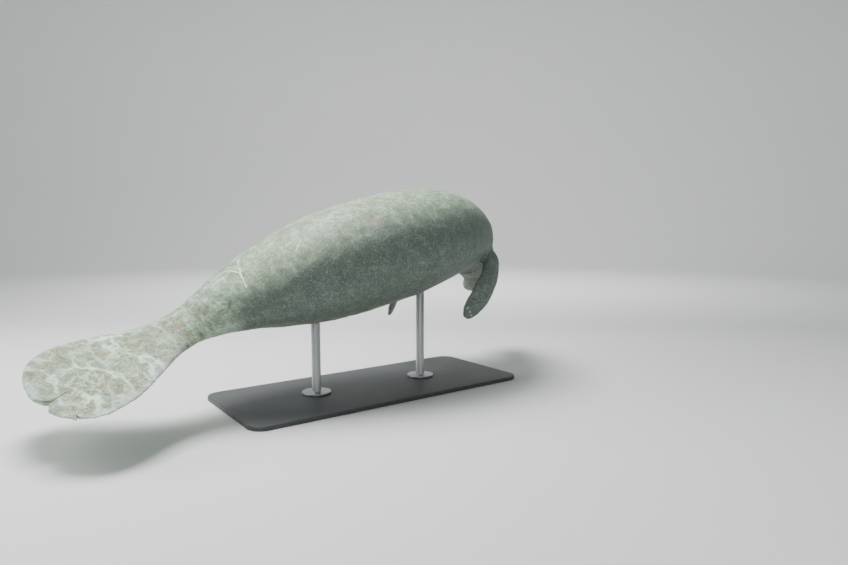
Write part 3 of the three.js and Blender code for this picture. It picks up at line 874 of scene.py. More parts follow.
class SkinForm:
    """The body, jaw and flippers fused to one closed mesh and then shaped in detail."""

    def __init__(self, settings):
        self.settings = settings
        jaw_rings = (1 - np.cos(np.linspace(0, np.pi, JAW_RINGS))) / 2
        blade_rings = np.sin(np.linspace(0, np.pi / 2, FLIPPER_RINGS))
        forms = [
            ringed_mesh(BODY_RINGS, BODY_AROUND, body_with_caps),
            ringed_mesh(jaw_rings, JAW_AROUND, jaw_point),
            *(ringed_mesh(blade_rings, FLIPPER_AROUND, blade) for blade in BLADES),
        ]
        self.trees = [tree_of(*form) for form in forms]
        self.pieces = [mesh_piece(f"form_{i}", *form) for i, form in enumerate(forms)]
        for piece in self.pieces:
            faces_outwards(piece)

    def fused(self):
        """One closed mesh of even faces, drawn back onto the forms except where two of them meet."""
        pick(*self.pieces)
        bpy.ops.object.join()
        piece = named("skin")
        guide = piece.copy()
        guide.data = piece.data.copy()
        bpy.context.scene.collection.objects.link(guide)
        modify(piece, "REMESH", mode="VOXEL", voxel_size=self.settings.voxel, adaptivity=0)
        keep_largest(piece)
        modify(piece, "SMOOTH", factor=0.5, iterations=3)
        self.draw_back(piece, guide)
        self.thin_out(piece)
        self.cut_tail(piece)
        self.refine(piece)
        bpy.data.objects.remove(guide)
        return piece

    def draw_back(self, piece, guide):
        """Draws the skin onto its forms, and smooths it more where forms meet and on thin parts."""
        gaps = self.gaps(places_of(piece))
        second = np.sort(gaps, axis=1)[:, 1]
        self.weigh(piece, "clear", soft_step(second, 0.006, 0.03))
        modify(piece, "SHRINKWRAP", target=guide, wrap_method="NEAREST_SURFACEPOINT", vertex_group="clear")
        modify(piece, "SMOOTH", factor=0.5, iterations=3)
        self.weigh(piece, "joint", 1 - soft_step(second, 0.01, 0.045))
        modify(piece, "SMOOTH", factor=0.5, iterations=10, vertex_group="joint")
        along, _, _ = spine_places(places_of(piece))
        thin = np.maximum(soft_step(along, 0.78, 0.84), gaps[:, 2:].min(1) < gaps[:, 0])
        self.weigh(piece, "thin", thin)
        modify(piece, "SMOOTH", factor=0.5, iterations=10, vertex_group="thin")
        piece.vertex_groups.clear()

    def thin_out(self, piece):
        """Fewer and larger faces on the broad parts of the body."""
        along, _, _ = spine_places(places_of(piece))
        trunk = soft_step(along, 0.15, 0.2) * (1 - soft_step(along, 0.66, 0.72))
        paddle = soft_step(along, 0.8, 0.84) * (1 - soft_step(along, 0.93, 0.96))
        self.weigh(piece, "plain", np.maximum(trunk, 0.85 * paddle))
        modify(piece, "DECIMATE", decimate_type="COLLAPSE", ratio=self.settings.thinning,
               vertex_group="plain", vertex_group_factor=1.0)
        piece.vertex_groups.clear()

    def weigh(self, piece, name, weights):
        """A vertex group with weights in steps of a tenth."""
        group = piece.vertex_groups.new(name=name)
        for level in range(1, 11):
            chosen = np.nonzero(np.round(weights * 10) == level)[0]
            group.add(chosen.tolist(), level / 10, "REPLACE")

    def gaps(self, spots):
        """Distance of each spot to the body, the jaw and both flippers."""
        return np.stack([distances(tree, spots) for tree in self.trees], 1)

    def cut_tail(self, piece):
        """Cuts the torn slit and the nick out of the paddle's rim."""
        _, forward, right, up = (row[0] for row in spine_at([TORN_PLACE]))
        tip = spine_at([1])[0][0]
        for outline in (TORN_SLIT, NICK):
            edge = np.array([tip + forward * ahead + right * aside for ahead, aside in outline]) / 1000
            below, above = edge - up * 0.06, edge + up * 0.06
            count = len(outline)
            sides = [(i, (i + 1) % count, count + (i + 1) % count, count + i) for i in range(count)]
            faces = [range(count)[::-1], range(count, 2 * count), *sides]
            tear = mesh_piece("tear", np.concatenate([below, above]), faces)
            faces_outwards(tear)
            modify(piece, "BOOLEAN", object=tear, operation="DIFFERENCE", solver="EXACT")
            bpy.data.objects.remove(tear)
        keep_largest(piece)

    def refine(self, piece):
        """Finer faces on the muzzle, and finer still round the eyes, nostrils, ears and mouth."""
        for reach, with_muzzle in ((0.045, True), (0.028, False), (0.018, False)):
            spots = places_of(piece)
            chosen = self.near_features(spots, reach)
            if with_muzzle:
                chosen |= spine_places(spots)[0] < 0.05
            shape = bmesh.new()
            shape.from_mesh(piece.data)
            shape.verts.ensure_lookup_table()
            edges = [e for e in shape.edges if chosen[e.verts[0].index] and chosen[e.verts[1].index]]
            bmesh.ops.subdivide_edges(shape, edges=edges, cuts=1, use_grid_fill=True, smooth=0.6)
            shape.to_mesh(piece.data)
            shape.free()
        modify(piece, "TRIANGULATE")

    def near_features(self, spots, reach):
        """Whether each spot is near an eye, a nostril, an ear or the line of the mouth."""
        chosen = np.zeros(len(spots), bool)
        features = (
            (EYE_PLACE, EYE_ANGLE, 1.0), (NOSTRIL_PLACE, NOSTRIL_ANGLE, 1.0), (EAR_PLACE, EAR_ANGLE, 0.35),
        )
        for along, degrees, share in features:
            for origin, _, _, _ in frames_of_both(along, degrees):
                chosen |= np.linalg.norm(spots - origin, axis=1) < reach * share
        near = np.nonzero(spine_places(spots)[0] < 0.12)[0]
        gaps = np.stack([distances(tree, spots[near]) for tree in self.trees[:2]], 1)
        chosen[near[(gaps < reach * 0.3).all(1)]] = True
        return chosen


def ring(distance, sizes):
    """A raised ring: its height, its distance from the middle and its width."""
    height, place, width = sizes
    return height * ridge(distance, place, width)


class SkinDetail:
    """Moves the fused skin's vertices to form lids, nostrils, the mouth, folds and wrinkles."""

    def __init__(self, piece, form, settings):
        self.piece = piece
        self.settings = settings
        self.spots = places_of(piece)
        self.normals = normals_of(piece)
        self.along, self.across, self.over = spine_places(self.spots)
        gaps = form.gaps(self.spots)
        self.body_gap, self.jaw_gap, self.flipper_gap = gaps[:, 0], gaps[:, 1], gaps[:, 2:].min(1)
        self.on_flipper = (self.flipper_gap < self.body_gap).astype(float)
        self.rise = np.zeros(len(self.spots))
        self.moved = np.zeros_like(self.spots)
        self.crease_shade = np.zeros(len(self.spots))

    def shape(self):
        self.add_lumps()
        self.add_wrinkles()
        self.add_flipper_folds()
        self.add_mouth()
        for spot_frame in frames_of_both(EYE_PLACE, EYE_ANGLE):
            self.add_eye_lids(spot_frame)
        for spot_frame in frames_of_both(NOSTRIL_PLACE, NOSTRIL_ANGLE):
            self.add_nostril(spot_frame)
        for spot_frame in frames_of_both(EAR_PLACE, EAR_ANGLE):
            ahead, across, _ = local_offsets(self.spots, spot_frame)
            self.press(EAR_DEPTH, ridge(np.hypot(ahead, across), 0, EAR_RADIUS))
        move_vertices(self.piece, self.spots + self.normals * self.rise[:, None] + self.moved)
        self.add_marks()

    def press(self, amount, share):
        """Sinks the skin by an amount at each vertex, and notes the share there as painted shade."""
        self.rise -= amount * share
        self.crease_shade = np.maximum(self.crease_shade, np.clip(share, 0, 1))

    def carve(self, near, push, normal, calm, dark):
        """Pushes the skin out along a feature's normal, calms the lumps and wrinkles round it, and notes
        painted shade in its grooves and hollows.
        """
        self.moved += np.where(near, push, 0)[:, None] * normal
        self.rise = np.where(near, self.rise * calm, self.rise)
        self.crease_shade = np.maximum(self.crease_shade, np.where(near, dark, 0))

    def band(self, place, width):
        """1 at a place along the body, and a soft fall to 0 before and after it."""
        return ridge(self.along, place, width)

    def add_lumps(self):
        broad = hills(self.spots, 0.42, 11) + 0.5 * hills(self.spots, 0.17, 12)
        trunk = soft_step(self.along, 0.16, 0.26) * (1 - soft_step(self.along, 0.7, 0.82))
        body = trunk * (1 - self.on_flipper)
        self.rise += self.settings.lumps * broad * body
        self.rise += 0.0009 * hills(self.spots, 0.06, 13) * (0.4 + 0.6 * body)

    def creases(self, length, seed, sharpness):
        """Broken, wandering creases that run round the body, from 0 to 1."""
        wander = 0.9 * hills(self.spots, 0.16, seed) + 0.5 * hills(self.spots, 0.05, seed + 1)
        wave = np.sin(self.along * BODY_LENGTH / 1000 / length * 2 * np.pi + 2.2 * wander)
        broken = soft_step(hills(self.spots, 0.11, seed + 2), -0.5, 0.6)
        return np.clip(wave, 0, 1) ** sharpness * broken

    def add_wrinkles(self):
        """Creases across the tail stock, the throat, the snout and the cheeks, and pimples on the lips."""
        off_flipper = 1 - self.on_flipper
        underside = 0.25 + 0.75 * soft_step(-self.over, -0.02, 0.09)
        # Share of the full depth, spacing, seed, sharpness and where they lie.
        rows = [
            (1.0, 0.026, 21, 3, self.band(0.755, 0.075) * off_flipper),
            (1.1, 0.019, 31, 3, self.band(0.165, 0.045) * underside * off_flipper),
            (0.8, 0.0095, 41, 2, self.band(0.045, 0.018) * soft_step(self.over, 0.0, 0.05)),
            (0.8, 0.012, 45, 2, self.band(0.05, 0.02) * soft_step(-self.over, -0.01, 0.03)),
        ]
        for share, spacing, seed, sharpness, where in rows:
            self.press(self.settings.wrinkles * share, self.creases(spacing, seed, sharpness) * where)
        lips = self.band(0.012, 0.014) * soft_step(-self.over, -0.03, 0.02)
        self.rise += 0.0009 * hills(self.spots, 0.011, 47) * lips

    def add_flipper_folds(self):
        """Folds round each flipper's root, and finer creases across its blade."""
        depth = self.settings.wrinkles
        root = ridge(self.flipper_gap + self.body_gap, 0, 0.035)
        spread = (self.body_gap - self.flipper_gap) / 0.016 * 2 * np.pi
        folds = np.sin(spread + 1.5 * hills(self.spots, 0.07, 51))
        self.press(depth * 1.2, np.clip(folds, 0, 1) ** 2 * root)
        blade = self.on_flipper * soft_step(self.body_gap, 0.01, 0.05)
        bends = np.sin(self.over / 0.021 * 2 * np.pi + 2.0 * hills(self.spots, 0.09, 53))
        broken = soft_step(hills(self.spots, 0.08, 54), -0.3, 0.7)
        self.press(depth * 0.45, np.clip(bends, 0, 1) ** 3 * blade * broken)

    def add_mouth(self):
        """A groove where the jaw meets the upper lip."""
        near = 1 - soft_step(self.body_gap + self.jaw_gap, 0.006, 0.016)
        meeting = ridge(self.body_gap - self.jaw_gap, 0, MOUTH_WIDTH) * near
        share = np.clip((self.along - JAW_START) / (JAW_END - JAW_START), 0, 1)
        _, half_height, drop = smooth_table(JAW_PROFILE)(share).T / 1000
        upper = soft_step(self.over + drop, -0.45 * half_height.max(), 0.0)
        rear = 1 - soft_step(self.along, 0.082, 0.098)
        self.press(MOUTH_DEPTH, meeting * upper * rear)

    def add_eye_lids(self, spot_frame):
        """An almond opening with a raised rim, a brow, two grooves and fine rays round it."""
        ahead, across, out = local_offsets(self.spots, spot_frame)
        near = (np.hypot(ahead, across) < 0.06) & (np.abs(out) < 0.04)
        across = across + LID_SLANT * ahead
        height = np.abs(across) * np.where(across > 0, 1.15, 1.0)
        length = np.abs(ahead) / LID_STRETCH
        reach = (length ** LID_ROUNDNESS + height ** LID_ROUNDNESS) ** (1 / LID_ROUNDNESS)
        turn = np.arctan2(across, ahead)
        upper = 0.5 + 0.5 * np.sin(turn)
        rays = np.cos(15 * turn + 2.5 * np.sin(3 * turn)) * ring(reach, LID_RAYS)
        raised = ring(reach, LID_RIM) + ring(reach, LID_BROW) * upper + rays
        depth, *place = LID_GROOVE
        groove = ridge(reach, *place) * (0.35 + 0.65 * upper)
        outer_depth, *place = LID_OUTER_GROOVE
        outer_groove = ridge(reach, *place) * (0.3 + 0.5 * np.abs(np.cos(turn)))
        socket = 1 - soft_step(reach, 0.0056, 0.0074)
        push = (raised - depth * groove - outer_depth * outer_groove) * (1 - socket)
        push -= (out + SOCKET_DEPTH) * socket
        # Painted shade in the grooves round the lids and in the eye's socket.
        dark = 0.8 * groove + 0.6 * outer_groove + 0.8 * (1 - soft_step(reach, 0.0062, 0.0085))
        self.carve(near, push, spot_frame[3], soft_step(reach, 0.012, 0.035), dark.clip(0, 1))

    def add_nostril(self, spot_frame):
        """A crescent slot round a low valve, open towards the front."""
        ahead, across, out = local_offsets(self.spots, spot_frame)
        reach = np.hypot(ahead, across * 1.08)
        near = (reach < 0.045) & (np.abs(out) < 0.03)
        turn = np.abs(np.arctan2(across, ahead))
        arc = 1 - soft_step(turn, math.radians(70), math.radians(115))
        width = 0.0012 + 0.0016 * (1 - soft_step(turn, 0.3, math.radians(105)))
        slot = ridge(reach, NOSTRIL_RADIUS / 1000 * 0.86, width) * arc
        valve = 0.0007 * (1 - soft_step(reach, 0.004, 0.011))
        moat = 0.0016 * soft_step(reach, 0.006, 0.011) * (1 - soft_step(reach, 0.011, 0.013)) * arc
        push = valve - moat + ring(reach, NOSTRIL_LIP) * arc - NOSTRIL_DEPTH * slot
        # Painted shade in the nostril's slot.
        self.carve(near, push, spot_frame[3], soft_step(reach, 0.014, 0.03), slot)

    def add_marks(self):
        """Carries to the material where each vertex lies on the body, and the painted shade of its creases,
        grooves and hollows.
        """
        mesh = self.piece.data
        places = np.stack([self.along * BODY_LENGTH / 1000, self.across, self.over], 1)
        lie = mesh.attributes.new("lie", "FLOAT_VECTOR", "POINT")
        lie.data.foreach_set("vector", places.astype(np.float32).ravel())
        inside = np.clip(self.along, 0, 1)
        half_width, above, below, _ = profile_at(inside).T / 1000
        half = np.where(self.over >= 0, above, below)
        dorsal = 0.5 + 0.5 * self.over / np.hypot(self.over, self.across * half / half_width + 1e-6)
        dorsal = dorsal * (1 - self.on_flipper) + 0.45 * self.on_flipper
        paddle = soft_step(self.along, 0.72, 0.83)
        rim = np.minimum(half_width - np.abs(self.across), (1 - self.along) * BODY_LENGTH / 1000)
        rim = (1 - soft_step(rim, 0.001, 0.042)) * soft_step(self.along, 0.79, 0.88)
        rows = {"dorsal": dorsal, "paddle": paddle, "rim": rim, "crease_shade": self.crease_shade}
        for name, values in rows.items():
            layer = mesh.attributes.new(name, "FLOAT", "POINT")
            layer.data.foreach_set("value", values.astype(np.float32))


# Healed wounds as lines over the back: places and degrees of their points, and a half width in metres.
SCARS = [
    ([(0.6729, 94), (0.6886, 70), (0.6957, 48)], 0.0042),
    ([(0.7086, 98), (0.6957, 90), (0.6895, 72)], 0.0034),
    ([(0.585, 58), (0.604, 50)], 0.0024),
    ([(0.43, 96), (0.452, 104), (0.47, 103)], 0.0028),
    ([(0.535, 128), (0.55, 121)], 0.0026),
]
# Small marks: place, degrees and radius in metres.
RUST_SPOTS = [
    (0.897, 92, 0.022), (0.926, 58, 0.018), (0.803, 62, 0.017), (0.947, 46, 0.013), (0.963, 54, 0.011),
    (0.837, 10, 0.013), (0.53, 86, 0.009), (0.87, 118, 0.013), (0.912, 76, 0.009), (0.851, 82, 0.012),
]
PINK_PATCHES = [(0.464, 42, 0.034), (0.452, 48, 0.018), (0.50, 62, 0.014)]


def on_body(place, degrees):
    """A spot of the body's surface, in metres."""
    return body_point([place], math.radians(degrees))[0] / 1000


def skin_paint(settings):
    paint = Paint("manatee_skin")
    place = paint.object_place()
    lie = paint.carried("lie", "Vector")
    dorsal, paddle, rim, crease_shade = (paint.carried(name) for name in ("dorsal", "paddle", "rim", "crease_shade"))
    shade = tuple(0.45 * c for c in settings.shaded_flank)
    light = srgb(212, 236, 216)

    broad = paint.noise(place, 3.2, 4, 0.55)
    blotches = paint.noise(paint.shifted(place, 9, 0.05), 21, 6, 0.68)
    speckle = paint.noise(place, 320, 4, 0.7)
    along = paint.parts(lie)[0]
    tailwards = along.step(1.98, 2.12)
    bare = tailwards * (1.0 - paddle)
    grain = paint.noise(paint.shifted(place, 42, 0.012), 125, 3, 0.75)
    # The top takes the back colour, partly for its algae and partly as painted light from above; the flanks
    # and belly below it take their colours darkened as painted shade.
    top = (dorsal + (broad - 0.5) * 0.34 + tailwards * 0.45).step(0.66, 1.0)

    tone = paint.blend(top, tuple(settings.shaded_flank), tuple(settings.back))
    tone = paint.blend((dorsal + (broad - 0.5) * 0.3).step(0.24, 0.04), tone, tuple(settings.belly))
    tone = paint.blend(paddle, tone, tuple(settings.paddle))
    # Painted light: the top of the tail stock and paddle made paler, as if lit from above.
    tone = paint.blend(tailwards * dorsal.step(0.95, 0.5) * 0.55, tone, light)
    tone = paint.blend(blotches.step(0.56, 0.36) * (0.32 + top * 0.24), tone, shade)
    tone = paint.blend(blotches.step(0.5, 0.68) * (0.1 + top * 0.58), tone, light)

    overgrown = along.step(1.1, 1.45) * along.step(2.02, 1.86)
    share = top * (0.5 + overgrown * 0.5 + paddle * 0.25 - bare * 0.3) + 0.06
    tone = paint.blend(film_of_algae(paint, place, lie) * share, tone, tuple(settings.algae))
    tufts = paint.noise(paint.shifted(place, 24, 0.02), 44, 4, 0.64).step(0.46, 0.6)
    tone = paint.blend(tufts * top * (0.1 + overgrown * 0.36 + paddle * 0.1), tone, tuple(settings.algae))
    inner = paddle * (1.0 - rim) * broad.step(0.3, 0.52)
    tone = paint.blend(grain.step(0.54, 0.36) * (0.12 + top * 0.26 + inner * 0.34), tone, srgb(92, 94, 58))
    tone = paint.blend(grain.step(0.5, 0.7) * (0.24 + top * 0.2), tone, light)
    green = paint.noise(place, 7.5, 4, 0.6).step(0.48, 0.7)
    tone = paint.blend(green * (0.3 - paddle * 0.18 - bare * 0.1), tone, srgb(90, 104, 82))
    # Painted light: pale caustic streaks over the paddle and, faintly, over the back.
    tone = paint.blend(painted_caustics(paint, lie) * (paddle * 0.8 + top * 0.16), tone, light)

    tone = paint.blend(spots_mask(paint, place, RUST_SPOTS) * 0.7, tone, srgb(150, 108, 34))
    tone = paint.blend(spots_mask(paint, place, PINK_PATCHES) * 0.38, tone, srgb(176, 132, 122))
    tone = paint.blend(rim * 0.55, tone, srgb(205, 220, 224))

    cracks = hide_cracks(paint, lie)
    pebbles = paint.cells(paint.shifted(place, 90, 0.004), 230, "F1")
    # Painted shade in the cracks and in the hollows between the pebbles.
    tone = paint.blend(cracks * 0.26, tone, shade)
    tone = paint.blend(pebbles.step(0.35, 0.75) * 0.12, tone, shade)
    tone = paint.blend(speckle.step(0.46, 0.8) * 0.2, tone, light)
    tone = paint.blend(paint.noise(place, 62, 5, 0.7).step(0.52, 0.38) * (0.2 + top * 0.14), tone, shade)
    # Painted shade in the creases, the grooves, the eye sockets, the ear holes and the nostril slots.
    tone = paint.blend(crease_shade * 0.5, tone, tuple(0.3 * c for c in settings.shaded_flank))

    scars = scar_mask(paint, place)
    tone = paint.blend(scars * (0.4 + blotches * 0.8), tone, tuple(settings.scar))

    rough = 0.52 + blotches * 0.14 + cracks * 0.1 - scars * 0.08
    paint.set(Base_Color=tone, Roughness=rough, Specular_IOR_Level=0.4)

    height = 0.45 - cracks * 0.1 - pebbles * 0.18 + speckle * 0.16 + blotches * 0.3 + scars * 0.1
    paint.set(Normal=paint.bumped(height, settings.grain, 0.85))
    return paint


def hide_cracks(paint, lie):
    """The fine net of cracks of thick hide, drawn out across the body."""
    wandering = paint.shifted(paint.shifted(lie, 26, 0.02, 3), 130, 0.006, 3)
    wide = paint.cells(paint.scaled(wandering, (2.2, 0.9, 0.9)), 58)
    narrow = paint.cells(paint.scaled(wandering, (1.5, 1.0, 1.0)), 170)
    return (wide.step(0.09, 0.0) * 0.45).most(narrow.step(0.2, 0.0) * 0.6)


def film_of_algae(paint, place, lie):
    """Patches of a thin olive film that breaks up to a net along the hide's folds."""
    patches = paint.noise(paint.shifted(place, 6, 0.08), 5.5, 5, 0.62).step(0.42, 0.62)
    net = paint.cells(paint.shifted(lie, 17, 0.06, 3), 25)
    fine_net = paint.cells(paint.shifted(lie, 34, 0.03, 3), 58)
    lines = net.step(0.22, 0.02).most(fine_net.step(0.24, 0.04) * 0.7)
    return (patches * 0.75 + 0.25) * (0.18 + lines * 0.82)


def painted_caustics(paint, lie):
    """Painted light: pale wavy streaks of caustic light, as from rippled water, that run slantwise over the
    paddle and fade in and out.
    """
    along, across, _ = paint.parts(lie)
    drawn_out = paint.joined(across * 1.0 - along * 0.5, along * 2.6 + across * 0.4, 0.0)
    wide = (paint.noise(drawn_out, 3.1, 3, 0.52) - 0.5).size().step(0.05, 0.0)
    narrow = (paint.noise(paint.shifted(drawn_out, 5.0, 0.1), 7.0, 3, 0.52) - 0.5).size().step(0.045, 0.0)
    soft = paint.noise(drawn_out, 2.4, 3).step(0.4, 0.6)
    return wide * (0.42 + soft * 0.5) + narrow * (0.12 + soft * 0.38)


def distance_from(paint, place, spot):
    offset = paint.vector_maths("SUBTRACT", {0: place, 1: tuple(spot)})
    return paint.vector_maths("LENGTH", {0: offset}, "Value")


def spots_mask(paint, place, rows):
    """Ragged blots with soft edges at places of the body."""
    ragged = paint.shifted(place, 60, 0.02, 3)
    mask = None
    for along, degrees, radius in rows:
        blot = distance_from(paint, ragged, on_body(along, degrees)).step(radius * 1.2, radius * 0.3)
        mask = blot if mask is None else mask.most(blot)
    return mask


def scar_mask(paint, place):
    """Where the old wounds run: near the lines between their points."""
    ragged = paint.shifted(place, 55, 0.010, 3)
    thinned = paint.noise(place, 38, 3, 0.6) * 2.2 + 0.2
    mask = None
    for points, half_width in SCARS:
        ends = [on_body(*point) for point in points]
        for start, end in zip(ends, ends[1:]):
            line = end - start
            offset = paint.vector_maths("SUBTRACT", {0: ragged, 1: tuple(start)})
            share = paint.vector_maths("DOT_PRODUCT", {0: offset, 1: tuple(line / (line @ line))}, "Value")
            foot = paint.vector_maths("SCALE", {0: tuple(line), "Scale": share.least(1.0).most(0.0)})
            gap = paint.vector_maths("DISTANCE", {0: offset, 1: foot}, "Value")
            part = (gap * thinned).step(half_width * 1.9, half_width * 0.2)
            mask = part if mask is None else mask.most(part)
    return mask


class MANATEE_OT_skin(bpy.types.Operator):
    """Fuses the body, jaw and flippers to one skin, with its lids, nostrils, mouth, folds and colours"""

    bl_idname = "manatee.skin"
    bl_label = "Skin"

    def execute(self, context):
        settings = context.scene.manatee_skin
        form = SkinForm(settings)
        piece = form.fused()
        SkinDetail(piece, form, settings).shape()
        pick(piece)
        bpy.ops.object.shade_smooth()
        skin_paint(settings).onto(piece)
        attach(piece, "root")
        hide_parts(*FLESH)
        return {"FINISHED"}


# Eyes and nails.

class MANATEE_OT_eyes(bpy.types.Operator):
    """Adds the two small dark eyes, each with its iris, pupil and clear bulge"""

    bl_idname = "manatee.eyes"
    bl_label = "Eyes"

    def execute(self, context):
        for side, degrees in (("right", EYE_ANGLE), ("left", 180 - EYE_ANGLE)):
            spot, ahead, across, normal = skin_frame(EYE_PLACE, degrees)
            bpy.ops.mesh.primitive_uv_sphere_add(segments=48, ring_count=28, radius=EYE_RADIUS / 1000)
            eye = named(f"eyeball_{side}")
            self.bulge(eye)
            centre = spot - normal * EYE_SUNK / 1000
            turned = Matrix(np.stack([ahead, across, normal], 1).tolist()).to_4x4()
            eye.matrix_world = Matrix.Translation(centre) @ turned
            settle(eye)
            bpy.ops.object.shade_smooth()
            self.paint(side, centre, normal).onto(eye)
            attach(eye, "root")
            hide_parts(f"eye_{side}")
        return {"FINISHED"}

    def bulge(self, eye):
        """Raises the clear cornea over the iris."""
        pick(eye)
        spots = places_of(eye)
        reach = np.hypot(spots[:, 0], spots[:, 1])
        front = spots[:, 2] > 0
        raised = CORNEA_RISE * (1 - soft_step(reach, 0.0005, CORNEA_REACH))
        spots[:, 2] += np.where(front, raised, 0)
        move_vertices(eye, spots)

    def paint(self, side, centre, normal):
        """A dark iris round a black pupil, in a darker white of the eye."""
        paint = Paint(f"eye_{side}")
        place = paint.object_place()
        front = centre + normal * (EYE_RADIUS / 1000)
        reach = distance_from(paint, place, front)
        rays = paint.noise(paint.scaled(place, (700, 700, 700)), 1.0, 3, 0.7)
        iris = paint.blend(rays, srgb(26, 22, 20), srgb(52, 46, 42))
        tone = paint.blend(reach.step(*PUPIL_EDGE), srgb(5, 5, 6), iris)
        tone = paint.blend(reach.step(*IRIS_EDGE), tone, srgb(38, 34, 33))
        paint.set(Base_Color=tone, Roughness=0.06 + rays * 0.02)
        paint.set(IOR=1.45, Coat_Weight=0.5, Coat_Roughness=0.03)
        return paint


def nail_paint():
    paint = Paint("nail_horn")
    place = paint.object_place()
    growth = paint.noise(paint.scaled(place, (220, 220, 900)), 1.0, 3, 0.6)
    tone = paint.blend(growth, srgb(150, 138, 116), srgb(196, 186, 164))
    tone = paint.blend(paint.noise(place, 120, 2).step(0.55, 0.75) * 0.5, tone, srgb(112, 102, 84))
    paint.set(Base_Color=tone, Roughness=0.36 + growth * 0.16, Normal=paint.bumped(growth, 0.0006, 0.6))
    return paint


class MANATEE_OT_nails(bpy.types.Operator):
    """Gives the flippers' nails a smooth horn plate each"""

    bl_idname = "manatee.nails"
    bl_label = "Nails"

    def execute(self, context):
        paint = nail_paint()
        for side in ("right", "left"):
            for number in (1, 2, 3):
                self.add_nail(f"nail_{side}_{number}", paint)
        return {"FINISHED"}

    def add_nail(self, node, paint):
        pick(NODES[node])
        bpy.ops.object.duplicate()
        nail = named(f"horn_{node[5:]}")
        nail.hide_render = False
        nail.parent = None
        for key in [key for key in nail.keys() if key.startswith("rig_")]:
            del nail[key]
        edit_all(nail)
        bpy.ops.mesh.remove_doubles(threshold=0.00005)
        faces_outwards(nail)
        modify(nail, "SUBSURF", levels=2, render_levels=2)
        bpy.ops.object.shade_smooth()
        paint.onto(nail)
        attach(nail, "root")
        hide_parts(node)


# Bristles and hairs.

def tapered_hair(sides, joints):
    """One straight hair of unit length along Z, cut across at its joints: points and faces."""
    bpy.ops.mesh.primitive_cone_add(vertices=sides, radius1=1, radius2=0.0, depth=1, location=(0, 0, 0.5),
                                    end_fill_type="NGON")
    hair = named("hair_model")
    settle(hair)
    bpy.ops.object.mode_set(mode="EDIT")
    for joint in range(1, joints):
        bpy.ops.mesh.select_all(action="SELECT")
        bpy.ops.mesh.bisect(plane_co=(0, 0, joint / joints), plane_no=(0, 0, 1))
    bpy.ops.mesh.select_all(action="SELECT")
    bpy.ops.mesh.quads_convert_to_tris()
    bpy.ops.mesh.normals_make_consistent(inside=False)
    bpy.ops.object.mode_set(mode="OBJECT")
    points = places_of(hair)
    faces = [tuple(p.vertices) for p in hair.data.polygons]
    bpy.data.objects.remove(hair)
    return points, np.array(faces)


def joined_hairs(name, model, roots, directions, lean, lengths, widths, curl, marks):
    """All the hairs as one mesh, each with a patch of the OFBake map at its root's place on the skin."""
    points, faces = model
    count, each = len(roots), len(points)
    side = unit(lean - directions * (lean * directions).sum(1, keepdims=True))
    other = np.cross(directions, side)
    x = points[None, :, 0] * widths[:, None]
    y = points[None, :, 1] * widths[:, None]
    z = points[None, :, 2] * lengths[:, None]
    bend = curl[:, None] * lengths[:, None] * points[None, :, 2] ** 2
    spots = (roots[:, None, :] + side[:, None, :] * (x + bend)[:, :, None] + other[:, None, :] * y[:, :, None]
             + directions[:, None, :] * z[:, :, None])
    all_faces = (faces[None] + (np.arange(count) * each)[:, None, None]).reshape(-1, 3)
    piece = mesh_piece(name, spots.reshape(-1, 3), all_faces)
    layer = piece.data.uv_layers.new(name="OFBake")
    corners = np.zeros(len(piece.data.loops), int)
    piece.data.loops.foreach_get("vertex_index", corners)
    owner, vertex = corners // each, corners % each
    patch = np.stack([points[vertex, 0], points[vertex, 2] * 2 - 1], 1) * 0.0015
    layer.data.foreach_set("uv", (marks[owner] + patch).astype(np.float32).ravel())
    pick(piece)
    bpy.ops.object.shade_smooth()
    return piece


def skin_roots(skin, along, angle):
    """Root, outward direction and map place of hairs at places and angles of the body."""
    tree = tree_of(places_of(skin), [face.vertices for face in skin.data.polygons])
    guessed = body_point(along, angle) / 1000
    roots, normals = np.zeros_like(guessed), np.zeros_like(guessed)
    kept = np.zeros(len(guessed), bool)
    for i, spot in enumerate(guessed):
        hit = tree.find_nearest(Vector(spot), 0.012)
        if hit[0] is not None:
            roots[i], normals[i], kept[i] = hit[0], hit[1], True
    marks = np.stack([0.01 + 0.98 * along, 0.01 + 0.98 * (angle / (2 * np.pi) % 1)], 1)
    return roots[kept], normals[kept], marks[kept], along[kept]


def hair_paint(settings):
    paint = Paint("hair")
    place = paint.object_place()
    mix = paint.noise(place, 90, 2)
    tone = paint.blend(mix, tuple(0.55 * c for c in settings.colour), tuple(settings.colour))
    paint.set(Base_Color=tone, Roughness=0.42 + mix * 0.1)
    return paint


class MANATEE_OT_bristles(bpy.types.Operator):
    """Sets short stiff bristles in the lip pads and on the chin"""

    bl_idname = "manatee.bristles"
    bl_label = "Bristles"

    def execute(self, context):
        settings = context.scene.manatee_hair
        skin = bpy.data.objects["skin"]
        random = np.random.default_rng(71)
        along, angle = [], []
        for side in ("right", "left"):
            along.append(np.abs(random.normal(0.010, 0.010, settings.bristles)) + 0.0015)
            degrees = random.uniform(-84, 22, settings.bristles)
            angle.append(np.radians(degrees if side == "right" else 180 - degrees))
        along, angle = np.concatenate(along), np.concatenate(angle)
        roots, normals, marks, along = skin_roots(skin, along, angle)
        count = len(roots)
        _, forward, _, up = spine_at(along)
        lean = forward * 0.4 - up * 0.8 + random.normal(0, 0.25, (count, 3))
        directions = unit(normals + 0.35 * forward - 0.25 * up + random.normal(0, 0.16, (count, 3)))
        lengths = settings.bristle_length * random.uniform(0.35, 1.0, count)
        widths = random.uniform(0.0003, 0.00055, count)
        curl = random.uniform(0.0, 0.3, count)
        piece = joined_hairs("bristles", tapered_hair(5, 3), roots - normals * 0.001, directions, lean,
                             lengths, widths, curl, marks)
        hair_paint(settings).onto(piece)
        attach(piece, "root")
        return {"FINISHED"}


